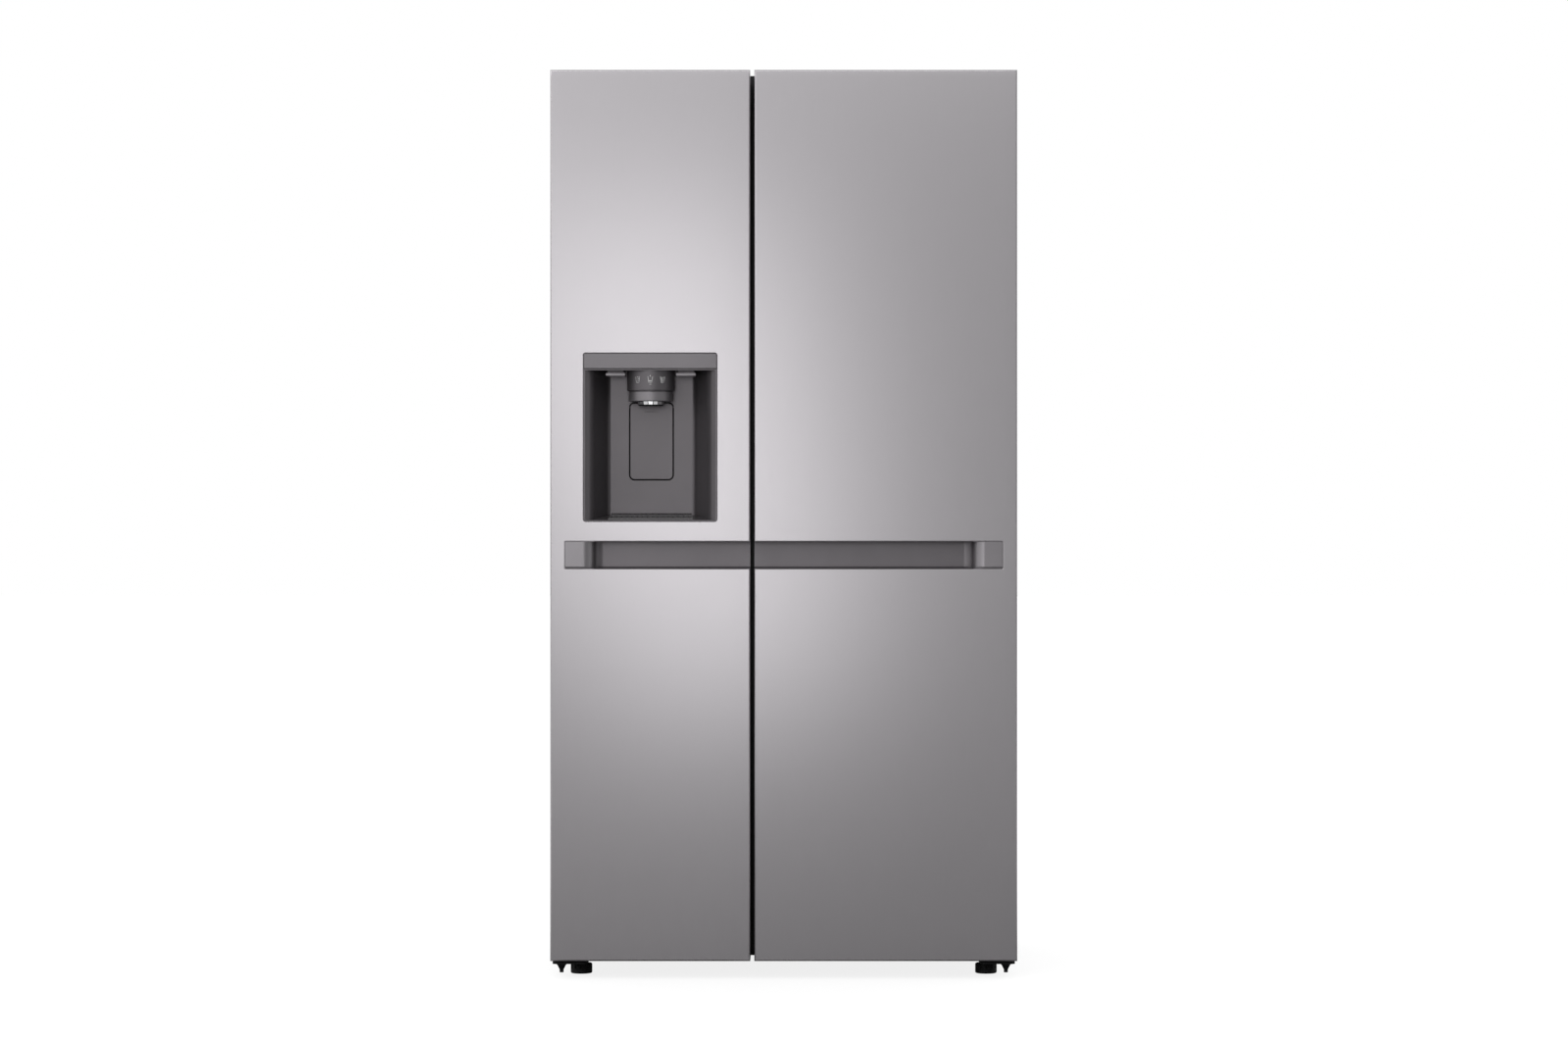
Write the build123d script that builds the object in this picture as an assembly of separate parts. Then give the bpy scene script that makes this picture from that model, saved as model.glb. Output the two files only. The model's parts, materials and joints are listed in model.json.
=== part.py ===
from build123d import *
import os
from math import cos, pi, sin

# Side by side refrigerator, in millimetres. The front faces -Y, +Z is up, and the
# origin is on the floor under the middle of the overall box.

# Overall size
WIDTH = 913.0
DEPTH = 735.0
HEIGHT = 1790.0

# Doors
DOOR_BOTTOM_Z = 34.0
DOOR_TOP_DROP = 14.5
DOOR_THICK = 103.0
DOOR_GAP = 8.0
DOOR_SPLIT_X = -61.5
DOOR_EDGE_R = 3.0
DOOR_SKIN = 1.2
DOOR_LIP = 9.0
DOOR_LIP_RISE = 13.5
DOOR_CAP = 20.0
DOOR_LINER = 2.0
DIKE_RISE = 62.0
DIKE_WIDTH = 26.0
DIKE_HINGE_GAP = 8.0
DIKE_SWING_GAP = 20.0
DIKE_END_GAP = 10.0
GASKET_THICK = 12.0
GASKET_WIDTH = 15.0
GASKET_HINGE_INSET = 24.0
GASKET_FREE_INSET = 4.0
GASKET_END_GAP = 2.5

# Hinges
PIN_INSET = 20.0
PIN_SETBACK = 47.0
PIN_R = 6.0
PIN_BEARING = 16.0
PIN_RUNNING_GAP = 0.05
PIN_SEAT_GAP = 0.02
PIN_HEAD_R = 9.0
PIN_HEAD = 2.5
PIN_COLLAR_R = 10.0
DOOR_RIDE_GAP = 0.3
ARM_HALF = 13.0
ARM_THICK = 5.0
ARM_LIFT = 1.5
HINGE_BASE_W = 50.0
HINGE_BASE_L = 84.0
HINGE_BASE_SETBACK = 8.0
HINGE_RISER = 6.0
LOWER_PLATE_W = 69.0
LOWER_PLATE_INSET = 3.0
LOWER_PLATE = 4.0
LOWER_PLATE_DROP = 4.0
LOWER_PLATE_SETBACK = 22.0
LOWER_LEG_W = 40.0
LOWER_LEG_TOP = 58.0
BOLT_R = 9.5
BOLT_NUT = 4.0
BOLT_CONE = 9.0
BOLT_TIP_R = 4.0
BOLT_TIP = 5.5

# Hinge and top covers
HINGE_COVER_RISE = 40.0
HINGE_COVER_W = 72.0
HINGE_COVER_L = 110.0
COVER_WALL = 2.5
COVER_ARM_GAP = 2.0
COVER_EDGE_R = 10.0
NOSE_REACH = 20.0
NOSE_RISE = 2.0
NOSE_FLOOR_GAP = 1.0
TOP_COVER_THICK = 3.0
TOP_COVER_DROP = 34.0
TOP_COVER_L = 45.0
TOP_COVER_END_GAP = 1.0

# Cabinet
CASE_INSET = 1.5
SHEET = 1.2
FLANGE = 26.0
LINER = 2.0
FREEZER_WALL = 58.0
FRIDGE_WALL = 46.0
MULLION_HALF = 27.0
MULLION_STRIP_HALF = 15.0
MULLION_RIDGE_HALF = 3.0
MULLION_RIDGE = 1.5
FLOOR_WALL = 85.0
ROOF_WALL = 60.0
BACK_WALL = 66.0
BASE_THICK = 3.0
BASE_FRONT_H = 64.0
MACHINE_DEPTH = 235.0
MACHINE_HEIGHT = 216.0
MACHINE_ROOF = 50.0
STEP_WALL = 62.0
STEP_RUN = 45.0

# Shelves and drawers
SHELF_SETBACK = 122.0
SHELF_GLASS = 5.0
SHELF_TRIM = 14.0
SHELF_SIDE_GAP = 1.0
FREEZER_SHELF_COUNT = 4
FRIDGE_SHELF_COUNT = 4
RAIL_WIDTH = 8.0
RAIL_THICK = 6.0
DRAWER_WALL = 2.5
DRAWER_FRONT = 6.0
DRAWER_CORNER_R = 8.0
DRAWER_SIDE_GAP = 4.0
DRAWER_LIFT = 0.5
DRAWER_HEIGHT = 160.0
DRAWER_SETBACK = 146.0
DRAWER_GRIP = 14.0
DRAWER_BACK_GAP = 6.0
DRAWER_TOP_GAP = 12.0

# Cold side
EVAPORATOR_SPACE = 86.0
AIR_PANEL = 4.0
AIR_PANEL_GAP = 0.3
FAN_DROP = 150.0
FAN_R = 55.0
FAN_OPENING_R = 60.0
FAN_HUB_R = 20.0
FAN_SHAFT_R = 3.0
FAN_WIDTH = 22.0
FAN_BLADES = 5
FAN_SEAT = 3.0
EVAPORATOR_H = 420.0
EVAPORATOR_LIFT = 40.0
FIN_COUNT = 16
FIN_THICK = 1.2
TUBE_R = 4.0
TUBE_ROWS = 7
DUCT_WIDTH = 230.0
DUCT_DEPTH = 22.0
DUCT_TOP_GAP = 70.0
DUCT_WALL = 3.0
DUCT_CORNER_R = 10.0
LAMP_W = 150.0
LAMP_L = 46.0
LAMP_H = 8.0
TANK_W = 112.0
TANK_L = 250.0
TANK_H = 165.0
TANK_R = 14.0
TANK_WALL = 3.0

# Machine room
COMPRESSOR_R = 78.0
COMPRESSOR_H = 150.0
COMPRESSOR_X = 215.0
COMPRESSOR_DOME = 34.0
COMPRESSOR_SHELL = 10.0
COMPRESSOR_FOOT = 5.0
COMPRESSOR_FOOT_HALF = 84.0
MOUNT_R = 13.0
MOUNT_H = 14.0
MOUNT_HALF = 68.0
SHROUD_X = 40.0
SHROUD = 4.0
CONDENSER_FAN_R = 72.0
CONDENSER_W = 190.0
CONDENSER_GAP = 10.0
PAN_W = 170.0
PAN_SIDE_GAP = 18.8
PAN_H = 46.0
COVER_SLOTS = 12
COVER_SLOT_W = 60.0
COVER_COLUMN_STEP = 78.0
COVER_SLOT_H = 5.0
COVER_SLOT_PITCH = 13.0
COVER_RECESS = 3.0
GROMMET_R = 11.0
GROMMET_BORE_R = 4.2
GROMMET_LIP = 3.0
GROMMET_INSET = 55.0
GROMMET_DROP = 40.0

# Feet and rollers
FOOT_R = 21.4
FOOT_H = 20.0
FOOT_STEM_R = 5.0
FOOT_INSET = 56.3
FOOT_SETBACK = 105.0
FOOT_NOTCHES = 12
FOOT_NOTCH_R = 2.2
FOOT_EDGE_R = 3.0
ROLLER_R = 15.5
ROLLER_W = 20.0
ROLLER_AXLE_R = 4.0
ROLLER_INSET = 70.0
ROLLER_FROM_BACK = 60.0
ROLLER_SIDE_GAP = 0.5
EAR = 3.0
EAR_HALF = 10.0

# Recessed grips
GRIP_BOTTOM_Z = 799.7
GRIP_H = 55.0
GRIP_INSET = 28.0
GRIP_FLAT = 34.0
GRIP_RAMP_R = 22.0
GRIP_DEPTH = 30.0
GRIP_WALL = 3.0
GRIP_RIM = 2.0
GRIP_UNDERCUT = 10.0
GRIP_LIP = 10.0

# Dispenser
DISPENSER_Z = 892.5
DISPENSER_W = 262.0
DISPENSER_H = 330.0
DISPENSER_R = 5.0
FASCIA_H = 30.8
FASCIA_THICK = 14.0
HOUSING_WALL = 3.0
HOUSING_DEPTH = 80.0
HOUSING_BACK_W = 171.0
LEDGE_W = 40.0
LEDGE_L = 34.0
LEDGE_T = 6.0
LEDGE_DROP = 9.0
SPOUT_R = 47.0
SPOUT_SETBACK = 50.0
SPOUT_RING_H = 38.8
SPOUT_GROOVE = 2.8
SPOUT_GROOVE_CUT = 3.0
SPOUT_COLLAR_R = 44.0
SPOUT_COLLAR_H = 18.0
SPOUT_THROAT_R = 21.0
NOZZLE_R = 26.0
NOZZLE_TIP_R = 24.5
NOZZLE_H = 9.0
PADDLE_W = 84.6
PADDLE_H = 150.4
PADDLE_R = 9.0
PADDLE_THICK = 4.0
PADDLE_GAP = 2.2
PADDLE_Z = 976.0
PADDLE_POCKET = 16.0
PADDLE_PIN_R = 1.5
PADDLE_PIN_DROP = 8.0
PADDLE_PIN_L = 4.0
POCKET_WALL = 2.5
TRAY_W = 166.0
TRAY_L = 60.0
TRAY_H = 10.5
TRAY_SLOTS = 9
TRAY_SLOT_W = 9.0
TRAY_SLOT_DEPTH = 7.0
TRAY_BACK_GAP = 3.0
TRAY_LIFT = 0.2

# Ice maker, bucket and door bins
BIN_WALL = 2.5
BIN_REACH = 98.0
BIN_H = 96.0
BIN_CORNER_R = 9.0
BIN_SIDE_GAP = 0.5
BIN_BACK_GAP = 0.4
FREEZER_BIN_COUNT = 4
FRIDGE_BIN_COUNT = 5
NUB_W = 5.0
NUB_L = 44.0
NUB_T = 8.0
BUCKET_DROP = 400.0
BUCKET_H = 190.0
BUCKET_FREE_GAP = 25.3
AUGER_R = 36.0
AUGER_SHAFT_R = 5.0
AUGER_LIFT = 44.0
AUGER_STATIONS = 5
AUGER_BLADE = 5.0
ICE_MAKER_GAP = 26.0
ICE_MAKER_H = 74.0
ICE_MAKER_FREE_GAP = 21.3
ICE_MAKER_L = 84.0
ICE_CUP_PITCH = 25.0
ICE_CUP_R = 11.0

# Fasteners
SCREW_R = 2.0
SCREW_HEAD_R = 4.6
SCREW_HEAD = 2.6
SCREW_HOLE_GAP = 0.1
SCREW_SOCKET_R = 1.8
SCREW_SOCKET = 1.6
SCREW_SINK = 2.0

# Levels that the driving sizes give
half_w = WIDTH / 2
front_y = -DEPTH / 2
door_back_y = front_y + DOOR_THICK
case_front_y = door_back_y + GASKET_THICK
case_back_y = DEPTH / 2
door_top_z = HEIGHT - DOOR_TOP_DROP
cap_top_z = door_top_z - DOOR_LIP_RISE
case_top_z = HEIGHT - HINGE_COVER_RISE
case_x0 = -half_w + CASE_INSET
case_x1 = half_w - CASE_INSET
base_top_z = DOOR_BOTTOM_Z + BASE_THICK
base_front_top_z = DOOR_BOTTOM_Z + BASE_FRONT_H
top_cover_z = case_top_z - TOP_COVER_DROP
pin_x = half_w - PIN_INSET
pin_y = front_y + PIN_SETBACK
machine_front_y = case_back_y - MACHINE_DEPTH
machine_top_z = DOOR_BOTTOM_Z + MACHINE_HEIGHT
cavity_back_y = case_back_y - BACK_WALL
cavity_floor_z = base_top_z + FLOOR_WALL
cavity_roof_z = case_top_z - ROOF_WALL
step_z = machine_top_z + MACHINE_ROOF
step_y = machine_front_y - STEP_WALL
freezer_x = (case_x0 + SHEET + FREEZER_WALL, DOOR_SPLIT_X - MULLION_HALF)
fridge_x = (DOOR_SPLIT_X + MULLION_HALF, case_x1 - SHEET - FRIDGE_WALL)
shelf_front_y = case_front_y + SHELF_SETBACK
drawer_front_y = case_front_y + DRAWER_SETBACK
air_panel_y = cavity_back_y - EVAPORATOR_SPACE - AIR_PANEL
duct_y = cavity_back_y - DUCT_DEPTH
lower_drawer_z = cavity_floor_z + DRAWER_LIFT
upper_drawer_z = step_z + DRAWER_LIFT
first_shelf_z = upper_drawer_z + DRAWER_HEIGHT + DRAWER_TOP_GAP
freezer_door_x = (-half_w, DOOR_SPLIT_X - DOOR_GAP / 2)
fridge_door_x = (DOOR_SPLIT_X + DOOR_GAP / 2, half_w)
bucket_z = cavity_roof_z - BUCKET_DROP

pieces = {}


# Basic solids
def block(x0, x1, y0, y1, z0, z1):
    middle = Pos((x0 + x1) / 2, (y0 + y1) / 2, (z0 + z1) / 2)
    return middle * Box(x1 - x0, y1 - y0, z1 - z0)


def rod(axis, a, b, start, end, radius):
    """Cylinder along one axis; a and b are its other two coordinates in X, Y, Z order."""
    middle = (start + end) / 2
    shape = Cylinder(radius, end - start)
    if axis == "x":
        return Pos(middle, a, b) * Rot(0, 90, 0) * shape
    if axis == "y":
        return Pos(a, middle, b) * Rot(90, 0, 0) * shape
    return Pos(a, b, middle) * shape


def side_prism(points, x0, x1):
    """Outline in Y and Z, drawn out along X."""
    return extrude(Plane.YZ.offset(x0) * make_face(Polyline(*points, close=True)), amount=x1 - x0)


def rounded_block(x0, x1, y0, y1, z0, z1, radius):
    """Block with rounded upright edges."""
    outline = Pos((x0 + x1) / 2, (y0 + y1) / 2, z0) * RectangleRounded(x1 - x0, y1 - y0, radius)
    return extrude(outline, amount=z1 - z0)


def open_tray(x0, x1, y0, y1, z0, z1, wall, radius):
    """Box with rounded upright corners and no lid."""
    outer = rounded_block(x0, x1, y0, y1, z0, z1, radius)
    return outer - rounded_block(
        x0 + wall, x1 - wall, y0 + wall, y1 - wall, z0 + wall, z1 + wall, radius - wall
    )


def frame_block(outer, inner, y0, y1):
    """Upright rectangular ring; outer and inner are (x0, x1, z0, z1)."""
    ring = block(outer[0], outer[1], y0, y1, outer[2], outer[3])
    return ring - block(inner[0], inner[1], y0 - 1, y1 + 1, inner[2], inner[3])


def mirrored(shape):
    return mirror(shape, about=Plane.YZ)


def shelf_levels(count):
    pitch = (cavity_roof_z - first_shelf_z) / count
    return [first_shelf_z + i * pitch for i in range(count)]


# Fasteners
def screw_hole(axis, a, b, start, end):
    return rod(axis, a, b, start, end, SCREW_R + SCREW_HOLE_GAP)


def screw(axis, a, b, seat, grip, outward):
    """Socket screw whose head sits on the plane at seat and faces the outward sign."""
    head_end = seat + outward * SCREW_HEAD
    shank_end = seat - outward * grip
    shape = rod(axis, a, b, min(seat, head_end), max(seat, head_end), SCREW_HEAD_R)
    shape += rod(axis, a, b, min(seat, shank_end), max(seat, shank_end), SCREW_R)
    socket_end = head_end - outward * SCREW_SOCKET
    return shape - rod(
        axis, a, b, min(head_end, socket_end), max(head_end, socket_end), SCREW_SOCKET_R
    )


# Cabinet shells
def make_outer_case():
    case = block(case_x0, case_x1, case_front_y, case_back_y, DOOR_BOTTOM_Z, case_top_z)
    case -= block(
        case_x0 + SHEET, case_x1 - SHEET, case_front_y + SHEET, case_back_y + 1,
        DOOR_BOTTOM_Z - 1, case_top_z - SHEET,
    )
    case -= block(
        case_x0 + SHEET, case_x1 - SHEET, case_front_y - 1, case_front_y + SHEET + 1,
        DOOR_BOTTOM_Z - 1, base_top_z,
    )
    return case - block(
        case_x0 + FLANGE, case_x1 - FLANGE, case_front_y - 1, case_front_y + SHEET + 1,
        DOOR_BOTTOM_Z - 1, case_top_z - FLANGE,
    )


def cavity_outline():
    return make_face(
        Polyline(
            (case_front_y, cavity_floor_z),
            (step_y, cavity_floor_z),
            (step_y + STEP_RUN, step_z),
            (cavity_back_y, step_z),
            (cavity_back_y, cavity_roof_z),
            (case_front_y, cavity_roof_z),
            close=True,
        )
    )


def cavity(span):
    return extrude(Plane.YZ.offset(span[0]) * cavity_outline(), amount=span[1] - span[0])


def liner_envelope(span):
    """The liner's outside, behind the front flange."""
    grown = offset(cavity_outline(), LINER, kind=Kind.INTERSECTION)
    width = span[1] - span[0] + 2 * LINER
    shape = extrude(Plane.YZ.offset(span[0] - LINER) * grown, amount=width)
    return shape - block(
        span[0] - 2 * LINER, span[1] + 2 * LINER, case_front_y - 2 * LINER, case_front_y + SHEET,
        cavity_floor_z - 2 * LINER, cavity_roof_z + 2 * LINER,
    )


def rails(span, y0, y1, z):
    left = block(span[0], span[0] + RAIL_WIDTH, y0, y1, z - RAIL_THICK, z)
    return left + block(span[1] - RAIL_WIDTH, span[1], y0, y1, z - RAIL_THICK, z)


def make_liner(span, flange_span, back_y, shelf_count):
    flange = block(
        flange_span[0], flange_span[1], case_front_y, case_front_y + SHEET,
        base_top_z, case_top_z - FLANGE,
    )
    liner = liner_envelope(span) + flange - cavity(span)
    liner += rails(span, drawer_front_y, step_y + STEP_RUN, step_z)
    for z in shelf_levels(shelf_count):
        liner += rails(span, shelf_front_y + SHELF_TRIM, back_y, z)
    return liner


def make_cabinet_foam():
    foam = block(
        case_x0 + SHEET, case_x1 - SHEET, case_front_y + SHEET, case_back_y - SHEET,
        base_top_z, case_top_z - SHEET,
    )
    foam -= block(
        case_x0, case_x1, machine_front_y, case_back_y, base_top_z - 1, machine_top_z
    )
    return foam - liner_envelope(freezer_x) - liner_envelope(fridge_x)


def make_mullion_strip():
    strip = block(
        DOOR_SPLIT_X - MULLION_STRIP_HALF, DOOR_SPLIT_X + MULLION_STRIP_HALF,
        case_front_y, case_front_y + SHEET, base_top_z, case_top_z - FLANGE,
    )
    return strip + block(
        DOOR_SPLIT_X - MULLION_RIDGE_HALF, DOOR_SPLIT_X + MULLION_RIDGE_HALF,
        case_front_y - MULLION_RIDGE, case_front_y, base_front_top_z, top_cover_z,
    )


def roller_ears(side):
    """Two ears and the axle pin that carry one rear roller; side is -1 or 1."""
    x = side * (half_w - ROLLER_INSET)
    y = case_back_y - ROLLER_FROM_BACK
    gap = ROLLER_W / 2 + ROLLER_SIDE_GAP
    shape = rod("x", y, ROLLER_R, x - gap, x + gap, ROLLER_AXLE_R)
    for start in (x - gap - EAR, x + gap):
        shape += block(
            start, start + EAR, y - EAR_HALF, y + EAR_HALF, ROLLER_R, DOOR_BOTTOM_Z
        )
        shape += rod("x", y, ROLLER_R, start, start + EAR, EAR_HALF)
    return shape


def make_base_pan():
    pan = block(
        case_x0 + SHEET, case_x1 - SHEET, case_front_y, case_back_y, DOOR_BOTTOM_Z, base_top_z
    )
    pan += block(
        case_x0, case_x1, case_front_y - BASE_THICK, case_front_y, DOOR_BOTTOM_Z, base_front_top_z
    )
    pan += roller_ears(-1) + roller_ears(1)
    for x, z in lower_leg_screws():
        for side in (-1, 1):
            pan -= screw_hole("y", side * x, z, case_front_y - BASE_THICK - 1, case_front_y + 1)
    return pan


def make_back_panel():
    return block(
        case_x0 + SHEET, case_x1 - SHEET, case_back_y - SHEET, case_back_y,
        machine_top_z, case_top_z - SHEET,
    )


def make_top_cover():
    rear_y = case_front_y + TOP_COVER_L
    wall = TOP_COVER_THICK
    points = [
        (case_front_y - wall, top_cover_z),
        (case_front_y - wall, door_top_z),
        (rear_y, door_top_z),
        (rear_y, case_top_z),
        (rear_y - wall, case_top_z),
        (rear_y - wall, door_top_z - wall),
        (case_front_y, door_top_z - wall),
        (case_front_y, top_cover_z),
    ]
    reach = half_w - CASE_INSET - HINGE_COVER_W - TOP_COVER_END_GAP
    return side_prism(points, -reach, reach)


# Hinges, built for the left side and mirrored
arm_z = cap_top_z + ARM_LIFT
lower_plate_top_z = DOOR_BOTTOM_Z - LOWER_PLATE_DROP
lower_plate_z = lower_plate_top_z - LOWER_PLATE
lower_leg_y = case_front_y - BASE_THICK - LOWER_PLATE
lower_plate_x = -half_w + LOWER_PLATE_INSET
foot_x = half_w - FOOT_INSET
foot_y = front_y + FOOT_SETBACK


def lower_leg_screws():
    """X and Z of the screws through the lower hinge's leg, on the right-hand side."""
    x = -(lower_plate_x + LOWER_LEG_W / 2)
    first_z = DOOR_BOTTOM_Z + LOWER_LEG_TOP / 3
    return [(x, first_z), (x, first_z + LOWER_LEG_TOP / 3)]


def upper_base_screws():
    """X and Y of the screws through the upper hinge's base, on the right-hand side."""
    base_y = case_front_y + HINGE_BASE_SETBACK + HINGE_RISER
    pitch = (HINGE_BASE_L - HINGE_RISER) / 3
    x = pin_x + ARM_HALF - HINGE_BASE_W / 2
    return [(x, base_y + pitch), (x, base_y + 2 * pitch)]


def make_upper_hinge():
    base_y = case_front_y + HINGE_BASE_SETBACK
    x0 = -pin_x - ARM_HALF
    x1 = x0 + HINGE_BASE_W
    hinge = block(x0, x1, base_y, base_y + HINGE_BASE_L, case_top_z, case_top_z + ARM_THICK)
    hinge += block(x0, x1, base_y, base_y + HINGE_RISER, case_top_z, arm_z + ARM_THICK)
    hinge += block(x0, -pin_x + ARM_HALF, pin_y, base_y + HINGE_RISER, arm_z, arm_z + ARM_THICK)
    hinge += rod("z", -pin_x, pin_y, arm_z, arm_z + ARM_THICK, ARM_HALF)
    hinge -= rod("z", -pin_x, pin_y, arm_z - 1, arm_z + ARM_THICK + 1, PIN_R + PIN_SEAT_GAP)
    for x, y in upper_base_screws():
        hinge -= screw_hole("z", -x, y, case_top_z - 1, case_top_z + ARM_THICK + 1)
    return hinge


def make_upper_pin():
    top = arm_z + ARM_THICK
    pin = rod("z", -pin_x, pin_y, cap_top_z - PIN_BEARING, top, PIN_R)
    return pin + rod("z", -pin_x, pin_y, top, top + PIN_HEAD, PIN_HEAD_R)


def make_lower_hinge():
    plate = block(
        lower_plate_x, lower_plate_x + LOWER_PLATE_W, front_y + LOWER_PLATE_SETBACK,
        case_front_y - BASE_THICK, lower_plate_z, lower_plate_top_z,
    )
    plate = fillet(plate.edges().filter_by(Axis.Z).sort_by(Axis.Y)[:2], BOLT_R)
    plate += block(
        lower_plate_x, lower_plate_x + LOWER_LEG_W, lower_leg_y, case_front_y - BASE_THICK,
        lower_plate_z, DOOR_BOTTOM_Z + LOWER_LEG_TOP,
    )
    plate -= rod("z", -pin_x, pin_y, lower_plate_z - 1, lower_plate_top_z + 1, PIN_R + PIN_SEAT_GAP)
    plate -= rod(
        "z", -foot_x, foot_y, lower_plate_z - 1, lower_plate_top_z + 1,
        FOOT_STEM_R + PIN_RUNNING_GAP,
    )
    for x, z in lower_leg_screws():
        plate -= screw_hole("y", -x, z, lower_leg_y - 1, case_front_y)
        sink_r = SCREW_HEAD_R + SCREW_HOLE_GAP
        plate -= rod("y", -x, z, lower_leg_y - 1, lower_leg_y + SCREW_SINK, sink_r)
    return plate


def make_lower_pin():
    """Door pivot above the plate, lock nut and adjusting tip below it."""
    pin = rod("z", -pin_x, pin_y, lower_plate_z, DOOR_BOTTOM_Z + PIN_BEARING, PIN_R)
    pin += rod("z", -pin_x, pin_y, lower_plate_top_z, DOOR_BOTTOM_Z - DOOR_RIDE_GAP, PIN_COLLAR_R)
    nut_z = lower_plate_z - BOLT_NUT
    pin += Pos(-pin_x, pin_y, nut_z) * extrude(RegularPolygon(BOLT_R, 6), amount=BOLT_NUT)
    cone_z = nut_z - BOLT_CONE
    pin += Pos(-pin_x, pin_y, nut_z - BOLT_CONE / 2) * Cone(BOLT_TIP_R, BOLT_R - 1, BOLT_CONE)
    return pin + rod("z", -pin_x, pin_y, cone_z - BOLT_TIP, cone_z, BOLT_TIP_R)


def make_hinge_cover():
    x0 = case_x0
    x1 = x0 + HINGE_COVER_W
    y1 = case_front_y + HINGE_COVER_L
    nose_half = ARM_HALF + COVER_ARM_GAP + COVER_WALL
    nose_y = pin_y - NOSE_REACH
    nose_top = door_top_z + NOSE_RISE
    nose_floor = cap_top_z + NOSE_FLOOR_GAP
    wall = COVER_WALL
    body = block(x0, x1, case_front_y, y1, case_top_z, HEIGHT)
    body = fillet(body.edges().group_by(Axis.Z)[-1], COVER_EDGE_R)
    body += block(
        -pin_x - nose_half, -pin_x + nose_half, nose_y, case_front_y, nose_floor, nose_top
    )
    room = block(x0 + wall, x1 - wall, case_front_y + wall, y1 - wall, case_top_z - 1, HEIGHT - wall)
    body -= fillet(room.edges().group_by(Axis.Z)[-1], COVER_EDGE_R - wall)
    return body - block(
        -pin_x - nose_half + wall, -pin_x + nose_half - wall, nose_y + wall,
        case_front_y + 2 * wall, nose_floor - 1, nose_top - wall,
    )


def make_screws():
    group = []
    for side in (-1, 1):
        for x, y in upper_base_screws():
            group.append(screw("z", side * x, y, case_top_z + ARM_THICK, ARM_THICK, 1))
        for x, z in lower_leg_screws():
            grip = LOWER_PLATE - SCREW_SINK + BASE_THICK
            group.append(screw("y", side * x, z, lower_leg_y + SCREW_SINK, grip, -1))
    for x, z in machine_cover_screws():
        group.append(screw("y", x, z, machine_cover_y, SHEET, 1))
    return Part() + group


# Feet and rollers, on the left and mirrored
def make_foot():
    disc = rod("z", -foot_x, foot_y, 0, FOOT_H, FOOT_R)
    disc = fillet(disc.edges(), FOOT_EDGE_R)
    for i in range(FOOT_NOTCHES):
        angle = 2 * pi * i / FOOT_NOTCHES
        x = -foot_x + FOOT_R * cos(angle)
        y = foot_y + FOOT_R * sin(angle)
        disc -= rod("z", x, y, FOOT_H / 2, FOOT_H + 1, FOOT_NOTCH_R)
    stem_top = DOOR_BOTTOM_Z - DOOR_RIDE_GAP - PIN_HEAD / 2
    return disc + rod("z", -foot_x, foot_y, FOOT_H / 2, stem_top, FOOT_STEM_R)


def make_roller():
    x = half_w - ROLLER_INSET
    y = case_back_y - ROLLER_FROM_BACK
    wheel = rod("x", y, ROLLER_R, -x - ROLLER_W / 2, -x + ROLLER_W / 2, ROLLER_R)
    wheel = fillet(wheel.edges(), FOOT_EDGE_R)
    bore_r = ROLLER_AXLE_R + PIN_RUNNING_GAP
    return wheel - rod("x", y, ROLLER_R, -x - ROLLER_W, -x + ROLLER_W, bore_r)


# Shelves, drawers and what the compartments hold
def make_shelves(span, back_y, count):
    group = []
    x0 = span[0] + SHELF_SIDE_GAP
    x1 = span[1] - SHELF_SIDE_GAP
    for z in shelf_levels(count):
        plate = block(x0, x1, shelf_front_y, back_y, z, z + SHELF_GLASS)
        group.append(
            plate
            + block(
                x0, x1, shelf_front_y, shelf_front_y + SHELF_TRIM / 2,
                z - SHELF_TRIM / 2, z + SHELF_TRIM / 2,
            )
        )
    return Part() + group


def make_drawer(span, z, back_y):
    x0 = span[0] + DRAWER_SIDE_GAP
    x1 = span[1] - DRAWER_SIDE_GAP
    top = z + DRAWER_HEIGHT
    drawer = open_tray(x0, x1, drawer_front_y, back_y, z, top, DRAWER_WALL, DRAWER_CORNER_R)
    front = rounded_block(
        x0, x1, drawer_front_y, drawer_front_y + 2 * DRAWER_CORNER_R, z, top, DRAWER_CORNER_R / 2
    )
    front -= block(
        x0 - 1, x1 + 1, drawer_front_y + DRAWER_FRONT, drawer_front_y + 3 * DRAWER_CORNER_R,
        z - 1, top + 1,
    )
    grip_half = (x1 - x0) / 4
    middle = (x0 + x1) / 2
    grip = block(
        middle - grip_half, middle + grip_half, drawer_front_y - DRAWER_GRIP, drawer_front_y,
        top - DRAWER_FRONT, top,
    )
    return drawer + front + grip


def evaporator_middle():
    return (freezer_x[0] + freezer_x[1]) / 2


def fan_blades(axis_plane, radius, hub_r, width, blades):
    """Blades drawn as tilted plates round a hub, in the plane's own frame along its normal."""
    hub = extrude(axis_plane * Circle(hub_r), amount=width)
    root = hub_r * 0.9
    reach = radius - root
    solid = hub
    for i in range(blades):
        place = axis_plane * Rot(0, 0, 360 * i / blades) * Pos(root + reach / 2, 0, width / 2)
        solid += place * Rot(35, 0, 0) * Box(reach, width, width / 8)
    rim = extrude(axis_plane * Circle(radius), amount=width)
    return solid & rim


def fan_shaft_z():
    return cavity_roof_z - FAN_DROP


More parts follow.
